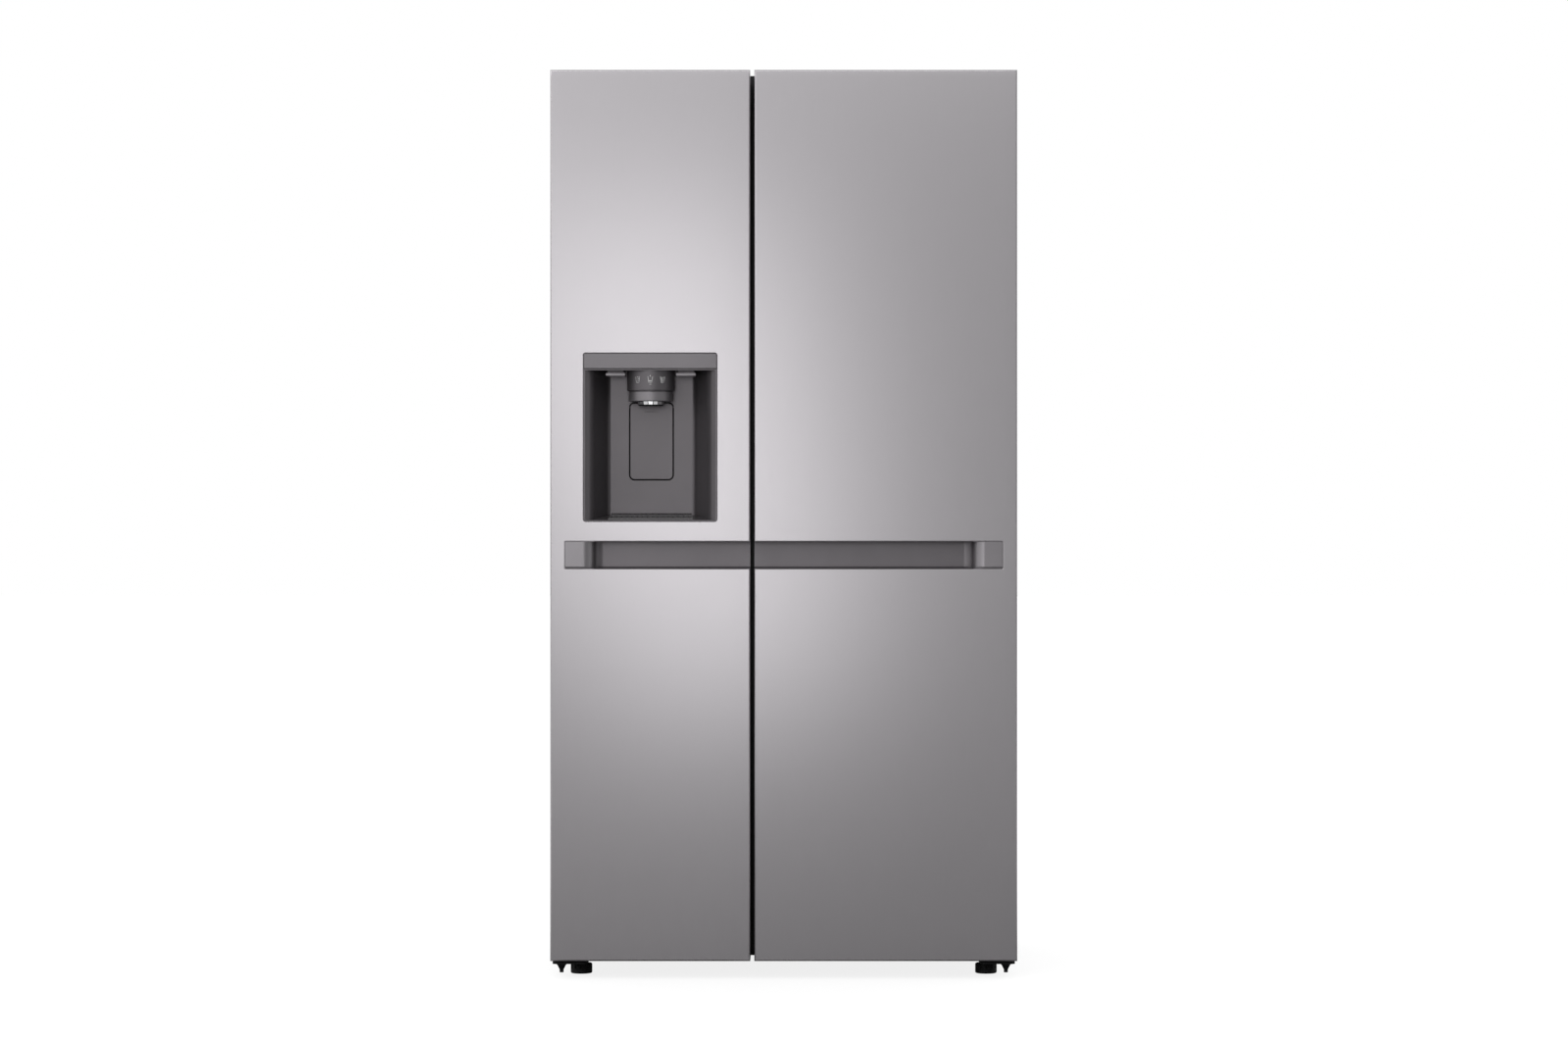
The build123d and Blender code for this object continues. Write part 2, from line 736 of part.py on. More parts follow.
def make_evaporator_cover():
    x0 = freezer_x[0] + AIR_PANEL_GAP
    x1 = freezer_x[1] - AIR_PANEL_GAP
    middle = evaporator_middle()
    back = air_panel_y + AIR_PANEL
    z = fan_shaft_z()
    panel = block(
        x0, x1, air_panel_y, back, step_z + AIR_PANEL_GAP, cavity_roof_z - AIR_PANEL_GAP
    )
    panel -= rod("y", middle, z, air_panel_y - 1, back + 1, FAN_OPENING_R)
    spoke_half = FAN_SHAFT_R
    for angle in (0, 60, 120):
        spoke = Pos(middle, (air_panel_y + back) / 2, z) * Rot(0, angle, 0)
        panel += spoke * Box(2 * FAN_OPENING_R + 2, AIR_PANEL, 2 * spoke_half)
    panel += rod("y", middle, z, air_panel_y, back + FAN_SEAT, FAN_HUB_R)
    panel += rod("y", middle, z, back, back + FAN_SEAT + FAN_WIDTH, FAN_SHAFT_R)
    slot_half = (x1 - x0) / 3
    pitch = (z - FAN_OPENING_R - first_shelf_z) / 5
    for i in range(1, 5):
        slot_z = first_shelf_z + i * pitch
        panel -= block(
            middle - slot_half, middle + slot_half, air_panel_y - 1, back + 1,
            slot_z, slot_z + 2 * AIR_PANEL,
        )
    return panel


def make_evaporator_fan():
    start = air_panel_y + AIR_PANEL + FAN_SEAT + DOOR_RIDE_GAP
    plane = Plane((evaporator_middle(), start, fan_shaft_z()), x_dir=(1, 0, 0), z_dir=(0, 1, 0))
    fan = fan_blades(plane, FAN_R, FAN_HUB_R, FAN_WIDTH, FAN_BLADES)
    return fan - extrude(
        plane * Circle(FAN_SHAFT_R + PIN_RUNNING_GAP), amount=FAN_WIDTH + 1
    )


def finned_coil(x0, x1, y0, y1, z0, z1, plate_y1, plate_z0):
    """Tubes along X through upright fins; the end plates reach plate_y1 and plate_z0."""
    solids = []
    for i in range(FIN_COUNT):
        x = x0 + (x1 - x0 - FIN_THICK) * i / (FIN_COUNT - 1)
        last = i in (0, FIN_COUNT - 1)
        solids.append(
            block(x, x + FIN_THICK, y0, plate_y1 if last else y1, plate_z0 if last else z0, z1)
        )
    pitch = (z1 - z0) / TUBE_ROWS
    for row in range(TUBE_ROWS):
        for share in (0.3, 0.7):
            solids.append(
                rod("x", y0 + (y1 - y0) * share, z0 + (row + 0.5) * pitch, x0, x1, TUBE_R)
            )
    return Part() + solids


def make_evaporator():
    z0 = step_z + EVAPORATOR_LIFT
    edge = RAIL_WIDTH
    return finned_coil(
        freezer_x[0] + edge, freezer_x[1] - edge,
        air_panel_y + AIR_PANEL + edge, cavity_back_y - edge,
        z0, z0 + EVAPORATOR_H, cavity_back_y, z0,
    )


def make_fridge_duct():
    middle = (fridge_x[0] + fridge_x[1]) / 2
    x0 = middle - DUCT_WIDTH / 2
    x1 = middle + DUCT_WIDTH / 2
    duct = rounded_block(
        x0, x1, duct_y, cavity_back_y + DUCT_DEPTH, first_shelf_z, cavity_roof_z - DUCT_TOP_GAP,
        DUCT_CORNER_R,
    )
    duct -= block(
        x0 - 1, x1 + 1, cavity_back_y, cavity_back_y + 2 * DUCT_DEPTH, first_shelf_z - 1, cavity_roof_z
    )
    duct -= block(
        x0 + DUCT_WALL, x1 - DUCT_WALL, duct_y + DUCT_WALL, cavity_back_y + 1,
        first_shelf_z + DUCT_WALL, cavity_roof_z - DUCT_TOP_GAP - DUCT_WALL,
    )
    levels = shelf_levels(FRIDGE_SHELF_COUNT)
    for z in levels:
        slot_z = z + (levels[1] - levels[0]) * 0.6
        for x in (x0 + DUCT_WIDTH / 4, x1 - DUCT_WIDTH / 4):
            duct -= block(
                x - DUCT_WIDTH / 8, x + DUCT_WIDTH / 8, duct_y - 1, duct_y + DUCT_DEPTH / 2,
                slot_z, slot_z + LAMP_H,
            )
    return duct


def make_lamps():
    group = []
    for span in (freezer_x, fridge_x):
        middle = (span[0] + span[1]) / 2
        y = shelf_front_y + LAMP_L
        lamp = rounded_block(
            middle - LAMP_W / 2, middle + LAMP_W / 2, y, y + LAMP_L,
            cavity_roof_z - LAMP_H, cavity_roof_z, LAMP_H,
        )
        group.append(fillet(lamp.edges().group_by(Axis.Z)[0], LAMP_H / 3))
    return Part() + group


def make_water_tank():
    z = shelf_levels(FRIDGE_SHELF_COUNT)[FRIDGE_SHELF_COUNT // 2] + SHELF_GLASS
    x0 = fridge_x[0] + 2 * RAIL_WIDTH
    y1 = duct_y - 2 * RAIL_WIDTH
    tank = rounded_block(x0, x0 + TANK_W, y1 - TANK_L, y1, z, z + TANK_H, TANK_R)
    tank = fillet(tank.edges().group_by(Axis.Z)[-1], TANK_R / 2)
    cap_y = y1 - TANK_L * 0.75
    cap = rod("z", x0 + TANK_W / 2, cap_y, z + TANK_H - 1, z + TANK_H + TANK_R, TANK_W / 4)
    tank += cap
    return tank - block(
        x0 + TANK_WALL, x0 + TANK_W - TANK_WALL, y1 - TANK_L + TANK_WALL, y1 - TANK_WALL,
        z + TANK_WALL, z + TANK_H - TANK_R,
    )


# Machine room
machine_y = (machine_front_y + case_back_y) / 2
machine_cover_y = case_back_y - COVER_RECESS
pan_x0 = case_x0 + SHEET + PAN_SIDE_GAP
condenser_x0 = pan_x0 + PAN_W + CONDENSER_GAP
grommet_x = case_x0 + GROMMET_INSET


def make_compressor():
    foot_z = base_top_z + MOUNT_H
    can_z = foot_z + COMPRESSOR_FOOT
    can = rod("z", COMPRESSOR_X, machine_y, can_z, can_z + COMPRESSOR_H, COMPRESSOR_R)
    can = fillet(can.edges(), COMPRESSOR_DOME)
    half = COMPRESSOR_FOOT_HALF
    foot = rounded_block(
        COMPRESSOR_X - half, COMPRESSOR_X + half, machine_y - half, machine_y + half,
        foot_z, foot_z + COMPRESSOR_FOOT + COMPRESSOR_DOME / 4, MOUNT_R,
    )
    foot -= block(
        COMPRESSOR_X - half - 1, COMPRESSOR_X + half + 1, machine_y - half - 1, machine_y + half + 1,
        foot_z + COMPRESSOR_FOOT, foot_z + COMPRESSOR_DOME,
    ) - rod("z", COMPRESSOR_X, machine_y, foot_z, foot_z + COMPRESSOR_H, COMPRESSOR_R * 0.8)
    pipe_z = foot_z + COMPRESSOR_H * 0.7
    pipe = rod("x", machine_y, pipe_z, COMPRESSOR_X - COMPRESSOR_R - MOUNT_R, COMPRESSOR_X, TUBE_R)
    hollow_r = COMPRESSOR_R - COMPRESSOR_SHELL
    hollow_z = can_z + COMPRESSOR_DOME
    hollow = rod("z", COMPRESSOR_X, machine_y, hollow_z, can_z + COMPRESSOR_H - COMPRESSOR_DOME, hollow_r)
    return can + foot + pipe - hollow


def make_grommets():
    """Four rubber mounts under the compressor and the mains lead's grommet in the cover."""
    group = []
    for sx in (-1, 1):
        for sy in (-1, 1):
            mount = rod(
                "z", COMPRESSOR_X + sx * MOUNT_HALF, machine_y + sy * MOUNT_HALF,
                base_top_z, base_top_z + MOUNT_H, MOUNT_R,
            )
            group.append(fillet(mount.edges(), MOUNT_R / 5))
    z = machine_top_z - GROMMET_DROP
    inner_end = machine_cover_y - SHEET - GROMMET_LIP
    outer_end = machine_cover_y + COVER_RECESS
    ring = rod("y", grommet_x, z, inner_end, outer_end, GROMMET_R)
    ring += rod("y", grommet_x, z, machine_cover_y, outer_end, GROMMET_R + GROMMET_LIP)
    ring -= rod("y", grommet_x, z, inner_end - 1, outer_end + 1, GROMMET_BORE_R)
    group.append(ring)
    return Part() + group


def make_fan_shroud():
    """Plate across the machine room with the fan opening, motor boss and shaft."""
    z = (base_top_z + machine_top_z) / 2
    plate = block(
        SHROUD_X, SHROUD_X + SHROUD, machine_front_y, machine_cover_y - SHEET,
        base_top_z, machine_top_z,
    )
    opening_r = CONDENSER_FAN_R + SHROUD
    plate -= rod("x", machine_y, z, SHROUD_X - 1, SHROUD_X + SHROUD + 1, opening_r)
    for angle in (30, 90, 150):
        spoke = Pos(SHROUD_X + SHROUD / 2, machine_y, z) * Rot(angle, 0, 0)
        plate += spoke * Box(SHROUD, 2 * opening_r + 2, 2 * SHROUD)
    plate += rod("x", machine_y, z, SHROUD_X - FAN_SEAT, SHROUD_X + SHROUD, FAN_HUB_R)
    return plate + rod("x", machine_y, z, SHROUD_X - FAN_SEAT - FAN_WIDTH, SHROUD_X, FAN_SHAFT_R)


def make_condenser_fan():
    z = (base_top_z + machine_top_z) / 2
    start = SHROUD_X - FAN_SEAT - DOOR_RIDE_GAP - FAN_WIDTH
    plane = Plane((start, machine_y, z), x_dir=(0, 1, 0), z_dir=(1, 0, 0))
    fan = fan_blades(plane, CONDENSER_FAN_R, FAN_HUB_R, FAN_WIDTH, FAN_BLADES)
    return fan - extrude(plane * Circle(FAN_SHAFT_R + PIN_RUNNING_GAP), amount=FAN_WIDTH + 1)


def make_condenser():
    return finned_coil(
        condenser_x0, condenser_x0 + CONDENSER_W, machine_y - COMPRESSOR_R, machine_y + COMPRESSOR_R,
        base_top_z + MOUNT_H, machine_top_z - MOUNT_H, machine_y + COMPRESSOR_R, base_top_z,
    )


def make_drain_pan():
    return open_tray(
        pan_x0, pan_x0 + PAN_W, machine_y - COMPRESSOR_R, machine_y + COMPRESSOR_R,
        base_top_z, base_top_z + PAN_H, BIN_WALL, BIN_CORNER_R,
    )


def machine_cover_screws():
    """X and Z of the screws along the top edge of the machine room's cover."""
    z = machine_top_z - 2 * SCREW_HEAD_R
    reach = case_x1 - 4 * SCREW_HEAD_R
    return [(-reach, z), (0, z), (reach, z)]


def make_machine_cover():
    y1 = machine_cover_y
    y0 = y1 - SHEET
    cover = block(case_x0 + SHEET, case_x1 - SHEET, y0, y1, base_top_z, machine_top_z)
    first_z = base_top_z + COVER_SLOT_PITCH
    half = COVER_SLOT_W / 2
    for centre in (condenser_x0 + CONDENSER_W / 2, COMPRESSOR_X):
        for x in (centre - COVER_COLUMN_STEP / 2, centre + COVER_COLUMN_STEP / 2):
            for i in range(COVER_SLOTS):
                z = first_z + i * COVER_SLOT_PITCH
                cover -= block(x - half, x + half, y0 - 1, y1 + 1, z, z + COVER_SLOT_H)
    grommet_z = machine_top_z - GROMMET_DROP
    cover -= rod("y", grommet_x, grommet_z, y0 - 1, y1 + 1, GROMMET_R + SCREW_HOLE_GAP)
    for x, z in machine_cover_screws():
        cover -= screw_hole("y", x, z, y0 - 1, y1 + 1)
    return cover


# Doors
def door_prism(span, inset, back, z0, z1):
    """Door-shaped plan with rounded front corners, set in by inset from the outside."""
    x0 = span[0] + inset
    x1 = span[1] - inset
    y0 = front_y + inset
    shape = block(x0, x1, y0, back, z0, z1)
    edges = shape.edges().filter_by(Axis.Z).sort_by(Axis.Y)[:2]
    return fillet(edges, DOOR_EDGE_R - inset)


def make_skin(span):
    skin = door_prism(span, 0, door_back_y, DOOR_BOTTOM_Z, door_top_z)
    skin -= door_prism(span, DOOR_SKIN, door_back_y + 1, DOOR_BOTTOM_Z - 1, door_top_z + 1)
    return skin - block(
        span[0] - 1, span[1] + 1, front_y + DOOR_LIP, door_back_y + 1, cap_top_z, door_top_z + 1
    )


def make_caps(span, hinge_x):
    back = door_back_y - DOOR_LINER
    top = door_prism(span, DOOR_SKIN, back, cap_top_z - DOOR_CAP, door_top_z)
    top -= block(span[0], span[1], front_y + DOOR_LIP, back + 1, cap_top_z, door_top_z + 1)
    bottom = door_prism(span, DOOR_SKIN, back, DOOR_BOTTOM_Z, DOOR_BOTTOM_Z + DOOR_CAP)
    bore = PIN_R + PIN_RUNNING_GAP
    top -= rod("z", hinge_x, pin_y, cap_top_z - PIN_BEARING - 1, cap_top_z + 1, bore)
    bottom -= rod("z", hinge_x, pin_y, DOOR_BOTTOM_Z - 1, DOOR_BOTTOM_Z + PIN_BEARING + 1, bore)
    return Part() + [top, bottom]


def dike_span(room, hinge_sign):
    """X limits of the dike inside a compartment; hinge_sign is the side of the hinge."""
    if hinge_sign < 0:
        return room[0] + DIKE_HINGE_GAP, room[1] - DIKE_SWING_GAP
    return room[0] + DIKE_SWING_GAP, room[1] - DIKE_HINGE_GAP


def dike_rings(room, hinge_sign):
    x0, x1 = dike_span(room, hinge_sign)
    z0 = cavity_floor_z + DIKE_END_GAP
    z1 = cavity_roof_z - DIKE_END_GAP
    w = DIKE_WIDTH
    return (x0, x1, z0, z1), (x0 + w, x1 - w, z0 + w, z1 - w)


def make_dike(room, hinge_sign):
    outer, inner = dike_rings(room, hinge_sign)
    return frame_block(outer, inner, door_back_y, door_back_y + DIKE_RISE)


def dike_core_bars(room, hinge_sign):
    """The foam inside the dike, which reaches through the liner's plate: two uprights, two bars."""
    outer, inner = dike_rings(room, hinge_sign)
    t = DOOR_LINER
    y0 = door_back_y - t
    y1 = door_back_y + DIKE_RISE - t
    z0 = outer[2] + t
    z1 = outer[3] - t
    left = inner[0] - t
    right = inner[1] + t
    return [
        block(outer[0] + t, left, y0, y1, z0, z1),
        block(right, outer[1] - t, y0, y1, z0, z1),
        block(left, right, y0, y1, z0, inner[2] - t),
        block(left, right, y0, y1, inner[3] + t, z1),
    ]


def foam_blocks(foam, rows):
    """The foam cut into plain blocks that meet face to face; rows hold a top height and Y cuts."""
    box = foam.bounding_box()
    blocks = []
    z0 = box.min.Z
    for z1, cuts in rows:
        y0 = box.min.Y
        for y1 in cuts + [box.max.Y]:
            blocks += (foam & block(box.min.X, box.max.X, y0, y1, z0, z1)).solids()
            y0 = y1
        z0 = z1
    return blocks


def grip_rows():
    """Rows of foam below, beside and behind the recessed grip."""
    grip_back = front_y + GRIP_DEPTH + GRIP_WALL
    return [
        (GRIP_BOTTOM_Z - GRIP_UNDERCUT - GRIP_WALL, []),
        (GRIP_BOTTOM_Z, [front_y + GRIP_LIP, grip_back]),
        (GRIP_BOTTOM_Z + GRIP_H, [grip_back]),
    ]


def bin_levels(count, top_z):
    """Floor heights of the bins between the dike's foot and top_z."""
    first = cavity_floor_z + DIKE_END_GAP + DIKE_WIDTH + NUB_T
    pitch = (top_z - first) / count
    return [first + i * pitch for i in range(count)]


def bin_span(room, hinge_sign):
    inner = dike_rings(room, hinge_sign)[1]
    return inner[0] + BIN_SIDE_GAP, inner[1] - BIN_SIDE_GAP


def make_door_liner(span, room, hinge_sign, levels):
    plate = block(
        span[0] + DOOR_SKIN, span[1] - DOOR_SKIN, door_back_y - DOOR_LINER, door_back_y,
        DOOR_BOTTOM_Z, cap_top_z,
    )
    liner = plate + make_dike(room, hinge_sign)
    for bar in dike_core_bars(room, hinge_sign):
        liner -= bar
    inner = dike_rings(room, hinge_sign)[1]
    for z in levels:
        for x0 in (inner[0], inner[1] - NUB_W):
            liner += block(x0, x0 + NUB_W, door_back_y, door_back_y + NUB_L, z - NUB_T, z)
    return liner


def make_bins(room, hinge_sign, levels):
    x0, x1 = bin_span(room, hinge_sign)
    group = []
    for z in levels:
        group.append(
            open_tray(
                x0, x1, door_back_y + BIN_BACK_GAP, case_front_y + BIN_REACH,
                z + DOOR_RIDE_GAP, z + BIN_H, BIN_WALL, BIN_CORNER_R,
            )
        )
    return Part() + group


def make_gasket(span, hinge_sign):
    hinge_edge = GASKET_HINGE_INSET
    free_edge = GASKET_FREE_INSET
    left, right = (hinge_edge, free_edge) if hinge_sign < 0 else (free_edge, hinge_edge)
    outer = (
        span[0] + left, span[1] - right,
        base_front_top_z + GASKET_END_GAP, top_cover_z - GASKET_END_GAP,
    )
    w = GASKET_WIDTH
    inner = (outer[0] + w, outer[1] - w, outer[2] + w, outer[3] - w)
    return frame_block(outer, inner, door_back_y, case_front_y)


# Recessed grips. sign is -1 where the outer end is on the left.
def grip_limits(span, sign):
    outer_end = span[0] + GRIP_INSET if sign < 0 else span[1] - GRIP_INSET
    free_end = span[1] if sign < 0 else span[0]
    return outer_end, free_end


def ordered_block(xa, xb, y0, y1, z0, z1):
    return block(min(xa, xb), max(xa, xb), y0, y1, z0, z1)


def grip_envelope(span, sign):
    outer_end, free_end = grip_limits(span, sign)
    top = GRIP_BOTTOM_Z + GRIP_H
    back = front_y + GRIP_DEPTH + GRIP_WALL
    shape = ordered_block(outer_end, free_end, front_y, back, GRIP_BOTTOM_Z, top)
    keel_free = free_end + sign * DOOR_SKIN
    return shape + ordered_block(
        outer_end, keel_free, front_y + GRIP_LIP, back,
        GRIP_BOTTOM_Z - GRIP_UNDERCUT - GRIP_WALL, GRIP_BOTTOM_Z,
    )


def make_grip(span, sign):
    outer_end, free_end = grip_limits(span, sign)
    wall_x = outer_end - sign * (GRIP_FLAT + GRIP_RAMP_R)
    ramp_x = outer_end - sign * GRIP_FLAT
    past = free_end - sign
    z0 = GRIP_BOTTOM_Z + GRIP_RIM
    z1 = GRIP_BOTTOM_Z + GRIP_H - GRIP_RIM
    floor_y = front_y + GRIP_DEPTH
    bend = cos(pi / 4) * GRIP_RAMP_R
    middle = (ramp_x - sign * bend, front_y + GRIP_RAMP_R - bend)
    outline = [
        ThreePointArc((ramp_x, front_y), middle, (wall_x, front_y + GRIP_RAMP_R)),
        Polyline(
            (wall_x, front_y + GRIP_RAMP_R), (wall_x, floor_y), (past, floor_y),
            (past, front_y - 1), (ramp_x, front_y - 1), (ramp_x, front_y),
        ),
    ]
    pocket = extrude(Plane.XY.offset(z0) * make_face(outline), amount=z1 - z0)
    undercut = ordered_block(
        wall_x - sign * GRIP_WALL, free_end + sign * (GRIP_WALL + DOOR_SKIN),
        front_y + GRIP_LIP + GRIP_WALL, floor_y, GRIP_BOTTOM_Z - GRIP_UNDERCUT, z0 + 1,
    )
    return grip_envelope(span, sign) - pocket - undercut


# Dispenser, in the freezer door
dispenser_x = (freezer_door_x[0] + freezer_door_x[1]) / 2
dispenser_top_z = DISPENSER_Z + DISPENSER_H
fascia_z = dispenser_top_z - FASCIA_H
housing_back_y = front_y + HOUSING_DEPTH
ceiling_z = fascia_z - HOUSING_WALL
recess_floor_z = DISPENSER_Z + HOUSING_WALL
spout_y = front_y + SPOUT_SETBACK
collar_z = ceiling_z - SPOUT_RING_H - SPOUT_GROOVE - SPOUT_COLLAR_H
paddle_pin_z = PADDLE_Z + PADDLE_H - PADDLE_PIN_DROP
paddle_pin_y = housing_back_y + PADDLE_THICK / 2


def tapered_block(half_front, half_back, y0, y1, z0, z1):
    """Block whose width narrows evenly from its front to its back."""
    outline = Polyline(
        (dispenser_x - half_front, y0), (dispenser_x + half_front, y0),
        (dispenser_x + half_back, y1), (dispenser_x - half_back, y1), close=True,
    )
    return extrude(Plane.XY.offset(z0) * make_face(outline), amount=z1 - z0)


def paddle_plate(grow, y0, y1):
    """Rounded upright plate with the paddle's outline grown by grow."""
    plane = Plane((dispenser_x, y0, PADDLE_Z + PADDLE_H / 2), x_dir=(1, 0, 0), z_dir=(0, 1, 0))
    outline = RectangleRounded(PADDLE_W + 2 * grow, PADDLE_H + 2 * grow, PADDLE_R + grow)
    return extrude(plane * outline, amount=y1 - y0)


def housing_envelope():
    shape = tapered_block(
        DISPENSER_W / 2, HOUSING_BACK_W / 2 + HOUSING_WALL, front_y, housing_back_y + HOUSING_WALL,
        DISPENSER_Z, fascia_z,
    )
    return shape + paddle_plate(
        PADDLE_GAP + POCKET_WALL, housing_back_y, housing_back_y + PADDLE_POCKET + POCKET_WALL
    )


def make_housing():
    housing = housing_envelope() - tapered_block(
        DISPENSER_W / 2 - HOUSING_WALL, HOUSING_BACK_W / 2, front_y, housing_back_y,
        recess_floor_z, ceiling_z,
    )
    housing -= paddle_plate(PADDLE_GAP, housing_back_y - 1, housing_back_y + PADDLE_POCKET)
    bore_half = PADDLE_W / 2 + PADDLE_GAP + POCKET_WALL - 0.2
    housing -= rod(
        "x", paddle_pin_y, paddle_pin_z, dispenser_x - bore_half, dispenser_x + bore_half,
        PADDLE_PIN_R + PIN_RUNNING_GAP,
    )
    ledge_top = ceiling_z - LEDGE_DROP
    for side in (-1, 1):
        near = dispenser_x + side * (SPOUT_R + HOUSING_WALL / 2)
        far = near + side * (HOUSING_BACK_W / 2 - SPOUT_R - HOUSING_WALL)
        housing += ordered_block(
            near, far, housing_back_y - LEDGE_L, housing_back_y, ledge_top - LEDGE_T, ledge_top
        )
    return housing


def make_fascia():
    shape = block(
        dispenser_x - DISPENSER_W / 2, dispenser_x + DISPENSER_W / 2, front_y, front_y + FASCIA_THICK,
        fascia_z, dispenser_top_z,
    )
    corners = shape.edges().filter_by(Axis.Y).group_by(Axis.Z)[-1]
    return fillet(corners, DISPENSER_R)


def make_spout():
    """Selector ring, groove and lower collar, cut flat where they meet the recess's back."""
    ring_z = ceiling_z - SPOUT_RING_H
    groove_z = ring_z - SPOUT_GROOVE
    spout = rod("z", dispenser_x, spout_y, ring_z, ceiling_z, SPOUT_R)
    spout += rod("z", dispenser_x, spout_y, groove_z, ring_z, SPOUT_COLLAR_R - SPOUT_GROOVE_CUT)
    spout += rod("z", dispenser_x, spout_y, collar_z, groove_z, SPOUT_COLLAR_R)
    spout -= block(
        dispenser_x - SPOUT_R - 1, dispenser_x + SPOUT_R + 1, housing_back_y, spout_y + SPOUT_R + 1,
        collar_z - 1, ceiling_z + 1,
    )
    return spout - rod("z", dispenser_x, spout_y, collar_z - 1, ring_z, SPOUT_THROAT_R)


def make_nozzle():
    nozzle = Pos(dispenser_x, spout_y, collar_z - NOZZLE_H / 2) * Cone(NOZZLE_TIP_R, NOZZLE_R, NOZZLE_H)
    return nozzle - rod(
        "z", dispenser_x, spout_y, collar_z - NOZZLE_H - 1, collar_z + 1, SPOUT_THROAT_R * 0.8
    )


def make_paddle():
    paddle = paddle_plate(0, housing_back_y, housing_back_y + PADDLE_THICK)
    half = PADDLE_W / 2
    for side in (-1, 1):
        near = dispenser_x + side * (half - PADDLE_PIN_L)
        far = dispenser_x + side * (half + PADDLE_PIN_L)
        paddle += rod("x", paddle_pin_y, paddle_pin_z, min(near, far), max(near, far), PADDLE_PIN_R)
    return paddle


def make_drip_tray():
    half = TRAY_W / 2
    y1 = housing_back_y - TRAY_BACK_GAP
    y0 = y1 - TRAY_L
    floor = recess_floor_z + TRAY_LIFT
    top = floor + TRAY_H
    tray = rounded_block(dispenser_x - half, dispenser_x + half, y0, y1, floor, top, HOUSING_WALL)
    pitch = TRAY_W / TRAY_SLOTS
    for i in range(TRAY_SLOTS):
        x = dispenser_x - half + (i + 0.5) * pitch
        tray -= block(
            x - TRAY_SLOT_W / 2, x + TRAY_SLOT_W / 2, y0 + TRAY_SLOT_W, y1 - TRAY_SLOT_W,
            top - TRAY_SLOT_DEPTH, top + 1,
        )
    return tray


# Ice maker and bucket, on the inside of the freezer door
bucket_x0 = bin_span(freezer_x, -1)[0] + NUB_W
bucket_x1 = bin_span(freezer_x, -1)[1] - BUCKET_FREE_GAP
bucket_y0 = door_back_y + BIN_BACK_GAP
bucket_y1 = case_front_y + BIN_REACH
auger_y = (bucket_y0 + bucket_y1) / 2
auger_z = bucket_z + AUGER_LIFT


def make_ice_bucket():
    bucket = open_tray(
        bucket_x0, bucket_x1, bucket_y0, bucket_y1, bucket_z, bucket_z + BUCKET_H, BIN_WALL, BIN_CORNER_R
    )
    return bucket - rod(
        "x", auger_y, auger_z, bucket_x0 - 1, bucket_x1 + 1, AUGER_SHAFT_R + PIN_RUNNING_GAP
    )


def make_ice_auger():
    auger = rod("x", auger_y, auger_z, bucket_x0, bucket_x1, AUGER_SHAFT_R)
    pitch = (bucket_x1 - bucket_x0 - 2 * BIN_CORNER_R) / AUGER_STATIONS
    for i in range(AUGER_STATIONS):
        x = bucket_x0 + BIN_CORNER_R + (i + 0.5) * pitch
        blade = Pos(x, auger_y, auger_z) * Rot(360 * i / AUGER_STATIONS / 2, 0, 0)
        auger += blade * Box(AUGER_BLADE, 2 * AUGER_R, 2 * AUGER_SHAFT_R)
    return auger


def make_ice_maker():
    z0 = bucket_z + BUCKET_H + ICE_MAKER_GAP
    z1 = z0 + ICE_MAKER_H
    x1 = bin_span(freezer_x, -1)[1] - ICE_MAKER_FREE_GAP
    y1 = door_back_y + ICE_MAKER_L
    maker = block(bucket_x0, x1, door_back_y, y1, z0, z1)
    cups = int((x1 - bucket_x0) / ICE_CUP_PITCH) - 1
    first_x = (bucket_x0 + x1 - (cups - 1) * ICE_CUP_PITCH) / 2
    for i in range(cups):
        x = first_x + i * ICE_CUP_PITCH
        maker -= rod("y", x, z1, door_back_y + ICE_CUP_R, y1 - ICE_CUP_R, ICE_CUP_R)
    return maker


def bucket_ledge():
    inner = dike_rings(freezer_x, -1)[1]
    return block(
        inner[0], inner[1], door_back_y, door_back_y + NUB_L, bucket_z - NUB_T, bucket_z
    )


# Assembly
def add_freezer_door():
    span = freezer_door_x
    levels = bin_levels(FREEZER_BIN_COUNT, bucket_z - NUB_T)
    grip = grip_envelope(span, -1)
    fascia = make_fascia()
    housing = housing_envelope()
    skin = make_skin(span) - grip - fascia - housing
    foam = door_prism(
        span, DOOR_SKIN, door_back_y - DOOR_LINER, DOOR_BOTTOM_Z + DOOR_CAP, cap_top_z - DOOR_CAP
    )
    foam = foam - grip - fascia - housing
    rows = grip_rows() + [
        (DISPENSER_Z, []),
        (fascia_z, [housing_back_y + HOUSING_WALL]),
        (dispenser_top_z, [front_y + FASCIA_THICK]),
        (cap_top_z - DOOR_CAP, []),
    ]
    pieces["freezer_door_skin"] = skin
    pieces["freezer_door_foam"] = Compound(foam_blocks(foam, rows) + dike_core_bars(freezer_x, -1))
    pieces["freezer_door_liner"] = make_door_liner(span, freezer_x, -1, levels) + bucket_ledge()
    pieces["freezer_door_caps"] = make_caps(span, -pin_x)
    pieces["freezer_door_gasket"] = make_gasket(span, -1)
    pieces["freezer_door_grip"] = make_grip(span, -1)
    pieces["freezer_door_bins"] = make_bins(freezer_x, -1, levels)
    pieces["dispenser_housing"] = make_housing()
    pieces["dispenser_fascia"] = fascia
    pieces["dispenser_spout"] = make_spout()
    pieces["dispenser_nozzle"] = make_nozzle()
    pieces["dispenser_paddle"] = make_paddle()
    pieces["drip_tray"] = make_drip_tray()
    pieces["ice_bucket"] = make_ice_bucket()
    pieces["ice_auger"] = make_ice_auger()
    pieces["ice_maker"] = make_ice_maker()


